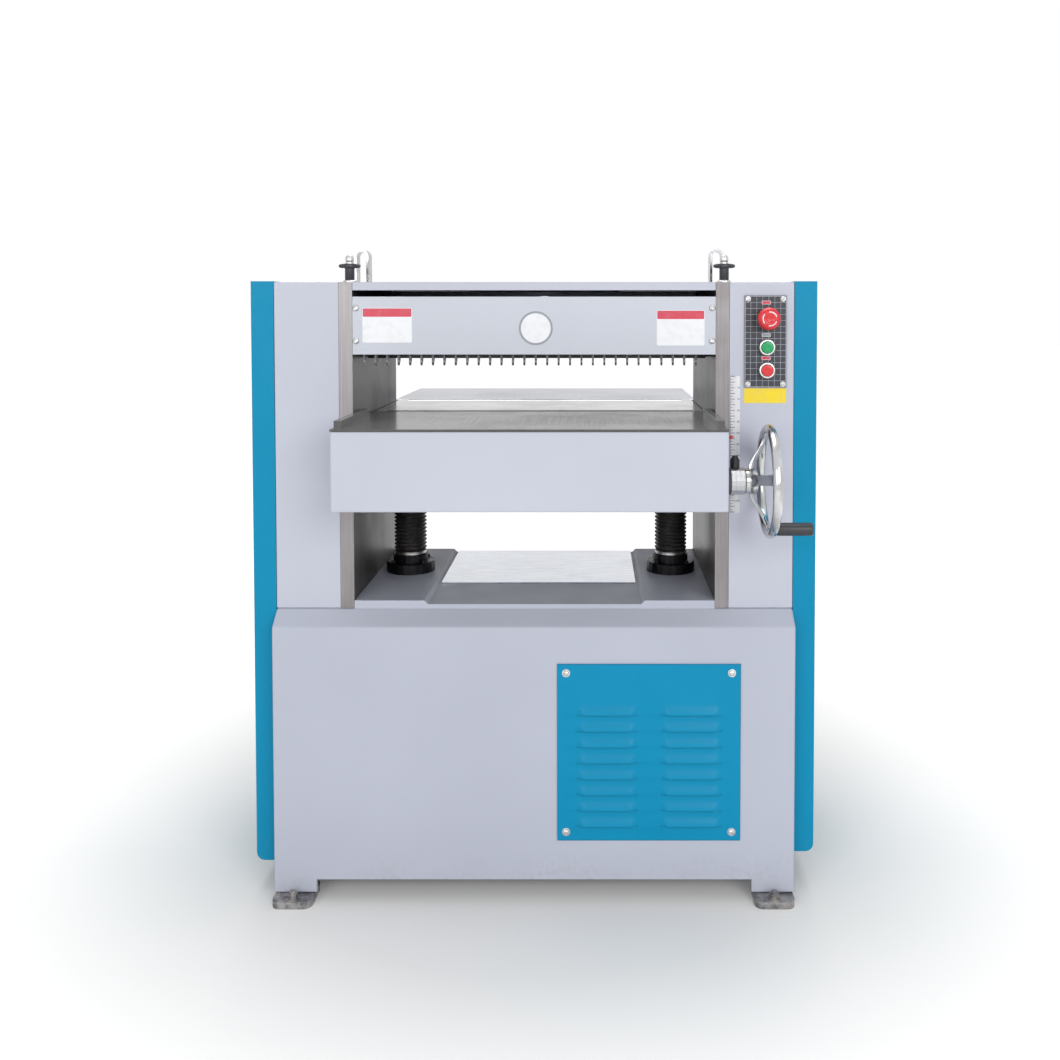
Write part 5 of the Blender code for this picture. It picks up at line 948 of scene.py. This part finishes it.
def make_marked_strip():
    """Brushed aluminium with a mark every five millimetres, longer at the tens."""
    material, tree, shader = new_material("marked strip")
    place = on_the_piece(tree)
    where = add(tree, "ShaderNodeSeparateXYZ", {0: place})
    across, height = where.outputs["X"], where.outputs["Z"]

    def marks(pitch, thickness, length):
        from_zero = worked(tree, "SUBTRACT", SCALE_ZERO + thickness / 2, height)
        step = worked(tree, "FRACT", worked(tree, "DIVIDE", from_zero, pitch), 0.0)
        thin = worked(tree, "LESS_THAN", step, thickness / pitch)
        short = worked(tree, "LESS_THAN", across, SCALE_LEFT + length)
        return worked(tree, "MULTIPLY", thin, short)

    ink = worked(tree, "MAXIMUM", marks(0.005, 0.0007, 0.0040), marks(0.010, 0.0010, 0.0072))
    sockets = {0: place, 1: (500.0, 500.0, 12.0)}
    upwards = add(tree, "ShaderNodeVectorMath", sockets, operation="MULTIPLY").outputs[0]
    brushed = noise(tree, upwards, 1.0, 3.0)
    dull, bright = screen_colour(214, 216, 221), screen_colour(232, 233, 236)
    strip = mixed(tree, ranged(tree, brushed, 0.3, 0.7), dull, bright)
    # Below the table the strip is darkened in specks, more towards the bottom: a painted shadow of
    # the table's apron and handwheel.
    specks = ranged(tree, noise(tree, place, 60.0, 4.0), 0.4, 0.6, 0.2, 0.7)
    apron_shadow = worked(tree, "MULTIPLY", ranged(tree, height, 0.80, 0.70), specks)
    strip = mixed(tree, apron_shadow, strip, screen_colour(168, 166, 166))
    tree.links.new(mixed(tree, ink, strip, screen_colour(48, 48, 54)), shader.inputs["Base Color"])
    tree.links.new(ranged(tree, brushed, 0.3, 0.7, 0.32, 0.45), shader.inputs["Roughness"])
    raised(tree, shader, brushed, 0.0001)
    return material


dress(make_marked_strip(), "depth_scale")
SCALE_INK = printed_vinyl("scale ink", screen_colour(52, 52, 58), 0.45)
INK_HEIGHT = 0.00015
DIGITS_RIGHT = 0.3624
DIGIT_SIZE = 0.0048
NUMBER_STEP = 20
LAST_NUMBER = 220
numbers = bmesh.new()
for millimetres in range(NUMBER_STEP, LAST_NUMBER + 1, NUMBER_STEP):
    digits = bpy.data.curves.new("digits", "FONT")
    digits.body = str(millimetres)
    digits.size = DIGIT_SIZE
    digits.align_x = "RIGHT"
    digits.align_y = "CENTER"
    writing = bpy.data.objects.new("digits", digits)
    shape = bpy.data.meshes.new_from_object(writing)
    place = (DIGITS_RIGHT, SCALE_FACE - INK_HEIGHT, SCALE_ZERO - millimetres / 1000)
    shape.transform(Matrix.Translation(place) @ FACING_FRONT)
    numbers.from_mesh(shape)
    bpy.data.meshes.remove(shape)
    bpy.data.objects.remove(writing)
    bpy.data.curves.remove(digits)
finished("depth_scale_numbers", numbers, SCALE_INK, "frame")
RIVET_X = 0.3548
RIVET_HEIGHTS = (0.6835, 0.9195)
rivets = bmesh.new()
for rivet_z in RIVET_HEIGHTS:
    round_head(rivets, (RIVET_X, SCALE_FACE, rivet_z), FACING_FRONT, 0.0016, 0.0010, 12)
finished("depth_scale_rivets", rivets, ZINC_PLATE, "frame")
RED_PLASTIC = turned_plastic("red plastic", screen_colour(214, 44, 52), 0.24)
dress(RED_PLASTIC, "depth_pointer")

# ---- Control panel and buttons ----
# A black printed plate with a white squared grid on the right column, on four plated screws.
# It carries an emergency stop and two push buttons in plated collars, under small blank tags.

plate_low, plate_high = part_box("control_panel")
PLATE_LEFT, _, PLATE_LOW = plate_low
PLATE_RIGHT, PLATE_BACK, PLATE_HIGH = plate_high
PLATE_SHEET = 0.003
PLATE_FACE = PLATE_BACK - PLATE_SHEET
GRID_PITCH = 0.01057
GRID_LINE = 0.0005
GRID_SQUARES = 21  # more than cross the plate, so that they start outside it


def make_printed_plate():
    """Black plate with a printed grid of thin pale lines inside a border."""
    material, tree, shader = new_material("printed plate")
    place = on_the_piece(tree)
    where = add(tree, "ShaderNodeSeparateXYZ", {0: place})

    def grid_lines(axis, middle):
        first_line = middle - GRID_PITCH * GRID_SQUARES / 2 - GRID_LINE / 2
        from_first = worked(tree, "SUBTRACT", where.outputs[axis], first_line)
        step = worked(tree, "FRACT", worked(tree, "DIVIDE", from_first, GRID_PITCH), 0.0)
        return worked(tree, "LESS_THAN", step, GRID_LINE / GRID_PITCH)

    upright = grid_lines("X", (PLATE_LEFT + PLATE_RIGHT) / 2)
    level = grid_lines("Z", (PLATE_LOW + PLATE_HIGH) / 2)
    lines = worked(tree, "MAXIMUM", upright, level)
    facing = add(tree, "ShaderNodeNewGeometry").outputs["Normal"]
    forward = add(tree, "ShaderNodeSeparateXYZ", {0: facing}).outputs["Y"]
    behind_collars = worked(tree, "GREATER_THAN", where.outputs["Y"], PLATE_FACE - 0.001)
    flat = worked(tree, "MULTIPLY", worked(tree, "LESS_THAN", forward, -0.9), behind_collars)
    ink = worked(tree, "MULTIPLY", worked(tree, "MULTIPLY", lines, flat), 0.72)
    haze = noise(tree, place, 50.0, 4.0)
    deep, hazy = screen_colour(33, 35, 45), screen_colour(43, 45, 57)
    black = mixed(tree, ranged(tree, haze, 0.35, 0.65), deep, hazy)
    printed = mixed(tree, ink, black, screen_colour(204, 208, 218))
    tree.links.new(printed, shader.inputs["Base Color"])
    tree.links.new(ranged(tree, haze, 0.3, 0.7, 0.34, 0.48), shader.inputs["Roughness"])
    raised(tree, shader, haze, 0.0002)
    return material


dress(make_printed_plate(), "control_panel")
BORDER_OUT, BORDER_IN = 0.0006, 0.0018  # its two edges, from the plate's edge
BORDER_INK = 0.00015
BORDER_JOINT = 0.0001  # between an upright line and the level ones
border_x = (PLATE_LEFT + BORDER_OUT, PLATE_RIGHT - BORDER_OUT)
border_low, border_high = PLATE_LOW + BORDER_IN, PLATE_HIGH - BORDER_IN
border_z = (border_low + BORDER_JOINT, border_high - BORDER_JOINT)
panel_frame = bmesh.new()
for edge_x, edge_z in (
    (border_x, (PLATE_LOW + BORDER_OUT, border_low)),
    (border_x, (border_high, PLATE_HIGH - BORDER_OUT)),
    ((PLATE_LEFT + BORDER_OUT, PLATE_LEFT + BORDER_IN), border_z),
    ((PLATE_RIGHT - BORDER_IN, PLATE_RIGHT - BORDER_OUT), border_z),
):
    sticker(panel_frame, edge_x, edge_z, PLATE_FACE, BORDER_INK, 0.0003, 2)
finished("control_panel_border", panel_frame, GREY_VINYL, "frame")
PLATE_EDGES = (PLATE_LEFT, PLATE_RIGHT, PLATE_LOW, PLATE_HIGH)
PLATE_SCREW_INSET = 0.0062
PLATE_WASHER = {"outer": 0.0046, "inner": 0.0020, "thickness": 0.0006}
PLATE_HEAD_SEAT = 0.0005
plate_screws = bmesh.new()
for screw_x, screw_z in at_the_corners(*PLATE_EDGES, PLATE_SCREW_INSET):
    screw_place = (screw_x, PLATE_FACE, screw_z)
    washer(plate_screws, screw_place, FACING_FRONT, **PLATE_WASHER)
    head_place = (screw_x, PLATE_FACE - PLATE_HEAD_SEAT, screw_z)
    round_head(plate_screws, head_place, FACING_FRONT, 0.0034, 0.0019, 16)
finished("control_panel_screws", plate_screws, ZINC_PLATE, "frame")
BUTTON_X = 0.4086
TAG_LEFT, TAG_RIGHT = BUTTON_X - 0.0085, BUTTON_X + 0.0070
TAG_HALF = 0.0032
STRIPE_HALF = 0.0026
STRIPE_INSET = 0.0007
STRIPE_FACE = PLATE_FACE - LABEL_SHEET
for tag_name, tag_z, tag_vinyl in (
    ("estop", 1.0515, RED_VINYL),
    ("start", 0.9945, GREY_VINYL),
    ("stop", 0.9540, RED_VINYL),
):
    tag = bmesh.new()
    tag_heights = (tag_z - TAG_HALF, tag_z + TAG_HALF)
    sticker(tag, (TAG_LEFT, TAG_RIGHT), tag_heights, PLATE_FACE, LABEL_SHEET, 0.0008, 3)
    finished(tag_name + "_blank_tag", tag, WHITE_VINYL, "frame")
    stripe = bmesh.new()
    stripe_x = (TAG_LEFT + STRIPE_INSET, TAG_RIGHT - STRIPE_INSET)
    stripe_z = (tag_z - STRIPE_HALF, tag_z + STRIPE_HALF)
    sticker(stripe, stripe_x, stripe_z, STRIPE_FACE, LABEL_PRINT, 0.0006, 3)
    finished(tag_name + "_tag_stripe", stripe, tag_vinyl, "frame")

GREEN_PLASTIC = turned_plastic("green plastic", screen_colour(0, 158, 92), 0.24)
COLLAR_SECTION = [(0.0109, 0.0002), (0.0146, 0.0002), (0.0150, 0.0030), (0.0150, 0.0086)]
COLLAR_SECTION += [(0.0142, 0.0106), (0.0128, 0.0114), (0.0110, 0.0113)]
STEM_SECTION = [(0, -0.0153), (0.0060, -0.0153)]
CAP_SECTION = [(0.0060, 0.0046), (0.0103, 0.0046), (0.0103, 0.0138), (0.0098, 0.0147)]
CAP_SECTION += [(0.0082, 0.0152), (0.0045, 0.0150), (0, 0.0149)]
for button_name, button_z, plastic, slot in (
    ("start", 0.9730, GREEN_PLASTIC, "green_plastic"),
    ("stop", 0.9326, RED_PLASTIC, "red_plastic"),
):
    button_place = (BUTTON_X, PLATE_FACE, button_z)
    collar = bmesh.new()
    lathe(collar, COLLAR_SECTION, button_place, FACING_FRONT, 48, ring=True)
    finished(button_name + "_button_collar", collar, ZINC_PLATE, "frame")
    cap = bmesh.new()
    lathe(cap, STEM_SECTION + CAP_SECTION, button_place, FACING_FRONT, 48)
    cap_piece = finished(button_name + "_button_cap", cap, plastic, button_name)
    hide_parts(button_name + "_button")

ESTOP_Z = 1.023
ESTOP_PLACE = (BUTTON_X, PLATE_FACE, ESTOP_Z)
ESTOP_CROWN_RADIUS, ESTOP_CROWN = 0.0100, 0.0362
HEAD_SECTION = [(0.0060, 0.0180), (0.0118, 0.0190), (0.0135, 0.0205), (0.0190, 0.0208)]
HEAD_SECTION += [(0.0196, 0.0218), (0.0199, 0.0262), (0.0196, 0.0290), (0.0186, 0.0318)]
HEAD_SECTION += [(0.0168, 0.0340), (0.0140, 0.0356), (ESTOP_CROWN_RADIUS, ESTOP_CROWN)]
HEAD_SECTION += [(0.0070, 0.0360), (0.0060, 0.0352), (0.0040, 0.0349), (0, 0.0348)]
stop_head = bmesh.new()
lathe(stop_head, STEM_SECTION + HEAD_SECTION, ESTOP_PLACE, FACING_FRONT, 64)
mushroom = finished("estop_mushroom_head", stop_head, RED_PLASTIC, "estop")
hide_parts("estop_button")
TURN_MARKS = 3
MARK_STEPS = 12
MARK_START, MARK_SWEEP = 20.0, 78.0  # degrees
MARK_INNER, MARK_OUTER = 0.0112, 0.0128
MARK_PROUD = 0.00035
MARK_SLOPE = 0.125  # of the crown under the marks
arrow_marks = bmesh.new()
for mark in range(TURN_MARKS):
    start = MARK_START + 360 / TURN_MARKS * mark
    inner, outer = [], []
    for step in range(MARK_STEPS + 1):
        angle = math.radians(start + MARK_SWEEP * step / MARK_STEPS)
        for radius, row in ((MARK_INNER, inner), (MARK_OUTER, outer)):
            out = ESTOP_CROWN - MARK_SLOPE * (radius - ESTOP_CROWN_RADIUS) + MARK_PROUD
            x, z = BUTTON_X + radius * math.cos(angle), ESTOP_Z + radius * math.sin(angle)
            row.append(arrow_marks.verts.new((x, PLATE_FACE - out, z)))
    for step in range(MARK_STEPS):
        arrow_marks.faces.new((inner[step], inner[step + 1], outer[step + 1], outer[step]))
finished("estop_turn_marks", arrow_marks, WHITE_VINYL, "estop")
RING_SECTION = [(0.0148, 0.0002), (0.0158, 0.0002), (0.0158, 0.0060), (0.0150, 0.0079)]
RING_SECTION.append((0.0142, 0.0079))
estop_ring = bmesh.new()
lathe(estop_ring, RING_SECTION, ESTOP_PLACE, FACING_FRONT, 48, ring=True)
YELLOW_PLASTIC = turned_plastic("yellow plastic", screen_colour(236, 176, 40), 0.3)
finished("estop_yellow_ring", estop_ring, YELLOW_PLASTIC, "frame")
COLUMN_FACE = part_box("right_column")[0][1]
YELLOW_HEIGHTS = (0.8745, 0.9005)
yellow_label = bmesh.new()
label_x = (PLATE_LEFT, PLATE_RIGHT)
sticker(yellow_label, label_x, YELLOW_HEIGHTS, COLUMN_FACE, LABEL_SHEET, 0.0010)
finished("plain_yellow_label", yellow_label, YELLOW_VINYL, "frame")

# ---- Pressure knobs and lifting bails ----
# Black winged nuts on threaded studs press the feed roller springs from the column tops.
# Beside them stand two bent straps of chromed steel that take the hooks of a hoist.

KNOB_X, KNOB_Y = 0.3465, -0.195
STUD_BOTTOM, THREAD_BOTTOM = 1.0133, 1.0150
STUD_RADIUS = 0.0055
THREAD_DEPTH = 0.0006
HALF_TURNS = 64
HALF_PITCH = 0.0011
KNOB_COLLAR_Z = 1.0879
KNOB_COLLAR = {"outer": 0.0130, "inner": 0.0060, "thickness": 0.0058}
SLEEVE_SECTION = [(0.0084, 1.0938), (0.0088, 1.0945), (0.0088, 1.1155), (0.0128, 1.1165)]
SLEEVE_SECTION += [(0.0132, 1.1180), (0.0132, 1.1225), (0.0124, 1.1240), (0.0050, 1.1244)]
SLEEVE_SECTION.append((0, 1.1244))
CAP_NUT_SECTION = [(0.0080, 1.1245), (0.0080, 1.1262), (0.0062, 1.1268), (0.0078, 1.1290)]
CAP_NUT_SECTION += [(0.0082, 1.1325), (0.0072, 1.1370), (0.0046, 1.1402), (0, 1.1410)]
WING_START, WING_LENGTH = 0.009, 0.0108
WING_HALF = 0.0042
WING_WIDTH_TAPER, WING_HEIGHT_TAPER = 0.35, 0.45  # shares lost at the tip
WING_Z = 1.1201
WING_STEPS = 6
WING_CORNERS = 12
stud_section = [(0, STUD_BOTTOM), (STUD_RADIUS, STUD_BOTTOM)]
for half_turn in range(HALF_TURNS):
    crest = STUD_RADIUS - THREAD_DEPTH * (half_turn % 2)
    stud_section.append((crest, THREAD_BOTTOM + HALF_PITCH * half_turn))
for side_name, knob_x in (("left", -KNOB_X), ("right", KNOB_X)):
    body = side_name + "_knob"
    knob_axis = (knob_x, KNOB_Y, 0)
    knob = bmesh.new()
    lathe(knob, stud_section + SLEEVE_SECTION, knob_axis, FACING_UP, 32)
    plated = bmesh.new()
    washer(plated, (knob_x, KNOB_Y, KNOB_COLLAR_Z), FACING_UP, sides=32, **KNOB_COLLAR)
    lathe(plated, CAP_NUT_SECTION, knob_axis, FACING_UP, 32)
    finished(side_name + "_knob_nut_and_collar", plated, ZINC_PLATE, body)
    for wing in (-1, 1):
        rows = []
        for step in range(WING_STEPS + 1):
            share = step / WING_STEPS
            x = knob_x + wing * (WING_START + WING_LENGTH * share)
            half_width = WING_HALF * (1 - WING_WIDTH_TAPER * share ** 2)
            half_height = WING_HALF * (1 - WING_HEIGHT_TAPER * share ** 3)
            row = []
            for corner in range(WING_CORNERS):
                angle = math.tau * corner / WING_CORNERS
                y = KNOB_Y + half_width * math.cos(angle)
                row.append(knob.verts.new((x, y, WING_Z + half_height * math.sin(angle))))
            rows.append(row)
        joined(knob, rows)
    winged = finished(side_name + "_winged_knob", knob, BLACK_PLASTIC, body)
    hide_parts(side_name + "_pressure_knob")
BAIL_STEEL = ground_metal(
    "bail steel", (188, 188, 192), (146, 146, 150), (100, 98, 98), (60.0, 60.0, 60.0),
    blotch=40.0, gloss=0.16,
)
dress(BAIL_STEEL, "left_lifting_bail", "right_lifting_bail")

# ---- Cutter block, rollers and chip guides ----
# The cutter block is a ground steel body with four clamped knives. The infeed roller is fluted
# to grip rough boards, the outfeed roller is smooth, and cast bars hold the wood between them.

CUTTER_STEEL = ground_metal(
    "cutter steel", (190, 190, 194), (138, 138, 142), (86, 78, 70), GROUND_ROUND,
    oiled=0.3, blotch=18.0,
)
dress(CUTTER_STEEL, "cutter_block")
dress(ROLLER_STEEL, "outfeed_roller")
INFEED_Y, INFEED_Z = -0.195, 0.985
FLUTES = 36


def make_fluted_steel():
    """Dark steel with rows of sharp flutes along the roller."""
    material, tree, shader = new_material("fluted steel", Metallic=0.9)
    place = on_the_piece(tree)
    where = add(tree, "ShaderNodeSeparateXYZ", {0: place})
    up = worked(tree, "SUBTRACT", where.outputs["Z"], INFEED_Z)
    back = worked(tree, "SUBTRACT", where.outputs["Y"], INFEED_Y)
    turn = worked(tree, "ARCTAN2", up, back)
    flute = worked(tree, "PINGPONG", worked(tree, "MULTIPLY", turn, FLUTES / math.tau), 0.5)
    groove, crest = screen_colour(58, 58, 62), screen_colour(136, 136, 140)
    colour = mixed(tree, ranged(tree, flute, 0.1, 0.4), groove, crest)
    tree.links.new(colour, shader.inputs["Base Color"])
    rough = ranged(tree, noise(tree, place, 40.0, 3.0), 0.3, 0.7, 0.3, 0.5)
    tree.links.new(rough, shader.inputs["Roughness"])
    raised(tree, shader, flute, 0.003, None, 0.8)
    return material


dress(make_fluted_steel(), "infeed_roller")
dress(BLUED_STEEL, "chip_breaker", "pressure_bar", "left_roller_carrier", "right_roller_carrier")
dress(BLUED_STEEL, "left_cutter_bearing", "right_cutter_bearing")

# ---- Motors, belt and drives ----
# The main motor hangs in the base and drives the cutter block through a banded V-belt. A
# smaller geared motor in the right column turns the feed rollers through a chain.


def make_motor_enamel():
    """Dark blue-grey enamel over the cooling ribs of a motor's barrel."""
    material, tree, shader = new_material("motor enamel", Specular_IOR_Level=0.4)
    coat = use(tree, SPRAYED_COAT, Colour=screen_colour(76, 92, 108), Gloss=0.45)
    edges = use(tree, EDGE_WEAR, Amount=0.6)
    place = on_the_piece(tree)
    sockets = {"Vector": place, "Scale": 30.0}
    ribs = add(tree, "ShaderNodeTexWave", sockets, bands_direction="Y").outputs[0]
    dust = ranged(tree, noise(tree, place, 20.0, 5.0), 0.45, 0.7, 0.0, 0.5)
    colour = mixed(tree, dust, coat["Colour"], screen_colour(150, 134, 108))
    colour = mixed(tree, edges["Mask"], colour, screen_colour(140, 140, 140))
    tree.links.new(colour, shader.inputs["Base Color"])
    tree.links.new(worked(tree, "ADD", dust, 0.42), shader.inputs["Roughness"])
    raised(tree, shader, ribs, 0.003, edges["Normal"], 0.6)
    return material


dress(make_motor_enamel(), "main_motor", "feed_gearmotor")
dress(BLUED_STEEL, "motor_pulley", "feed_sprocket")
BELT_BLACK, BELT_DUST = screen_colour(38, 37, 36), screen_colour(140, 130, 116)
BELT_RUBBER = moulded_rubber("belt rubber", BELT_BLACK, BELT_DUST, dust=0.2, gloss=0.6)
dress(BELT_RUBBER, "drive_belt")

# ---- Floor, light and camera ----
# A plain white floor that keeps the machine's soft shadow, a large soft lamp in front on either
# side, the right one a little stronger, another overhead, and an even white surround.

FLOOR_REACH = 30.0
floor_shape = bmesh.new()
for x, y in ((-1, -1), (1, -1), (1, 1), (-1, 1)):
    floor_shape.verts.new((x * FLOOR_REACH, y * FLOOR_REACH, 0))
floor_shape.faces.new(floor_shape.verts)
floor_mesh = bpy.data.meshes.new("studio_floor")
floor_shape.to_mesh(floor_mesh)
floor_shape.free()
floor = bpy.data.objects.new("studio_floor", floor_mesh)
bpy.context.scene.collection.objects.link(floor)
matt = {"Roughness": 0.9, "Specular_IOR_Level": 0.0}
floor_paper, paper_tree, paper_shader = new_material("white paper", **matt)
paper_shader.inputs["Base Color"].default_value = (0.88, 0.88, 0.87, 1.0)
seen = add(paper_tree, "ShaderNodeLightPath")
by_eye, by_gloss = seen.outputs["Is Camera Ray"], seen.outputs["Is Glossy Ray"]
seen_directly = worked(paper_tree, "MAXIMUM", by_eye, by_gloss)
paper_shader.inputs["Emission Color"].default_value = (1.0, 1.0, 1.0, 1.0)
sockets = {0: on_the_piece(paper_tree)}
from_machine = add(paper_tree, "ShaderNodeVectorMath", sockets, operation="LENGTH")
lift = ranged(paper_tree, from_machine.outputs["Value"], 0.55, 1.8, 0.05, 0.66)
strength = worked(paper_tree, "MULTIPLY", seen_directly, lift)
paper_tree.links.new(strength, paper_shader.inputs["Emission Strength"])
floor_mesh.materials.append(floor_paper)

scene = bpy.context.scene
surround = bpy.data.worlds.new("even surround")
scene.world = surround
surround.use_nodes = True
sky_tree = surround.node_tree
path = add(sky_tree, "ShaderNodeLightPath")
direct = worked(sky_tree, "MAXIMUM", path.outputs["Is Camera Ray"], path.outputs["Is Glossy Ray"])
direct = worked(sky_tree, "MAXIMUM", direct, path.outputs["Is Transmission Ray"])
sky = sky_tree.nodes["Background"]
sky.inputs["Color"].default_value = (1.0, 1.0, 1.0, 1.0)
sky_tree.links.new(ranged(sky_tree, direct, 0.0, 1.0, 0.43, 1.0), sky.inputs["Strength"])


def soft_lamp(name, place, aim, size, power):
    lamp = bpy.data.lights.new(name, "AREA")
    lamp.shape = "RECTANGLE"
    lamp.size, lamp.size_y = size
    lamp.energy = power
    holder = bpy.data.objects.new(name, lamp)
    holder.location = place
    holder.rotation_mode = "QUATERNION"
    holder.rotation_quaternion = (Vector(aim) - Vector(place)).to_track_quat("-Z", "Y")
    bpy.context.scene.collection.objects.link(holder)


soft_lamp("soft_lamp_left", (-1.6, -4.2, 1.9), (0, 0, 0.6), (2.4, 2.0), 50.0)
soft_lamp("soft_lamp_right", (1.9, -4.0, 2.1), (0, 0, 0.6), (2.4, 2.0), 64.0)
soft_lamp("soft_lamp_top", (0.0, 0.35, 3.2), (0, 0.1, 0.6), (2.0, 2.0), 46.0)

lens = bpy.data.cameras.new("photograph_view")
lens.sensor_width = 36.0
lens.lens = 35.7
lens.shift_x = -0.058
lens.shift_y = -0.170
eye = bpy.data.objects.new("photograph_view", lens)
eye.location = (0.101, -2.145, 1.033)
eye.rotation_euler = (math.radians(88.0), 0, 0)
scene.collection.objects.link(eye)
scene.camera = eye
scene.view_settings.view_transform = "Standard"
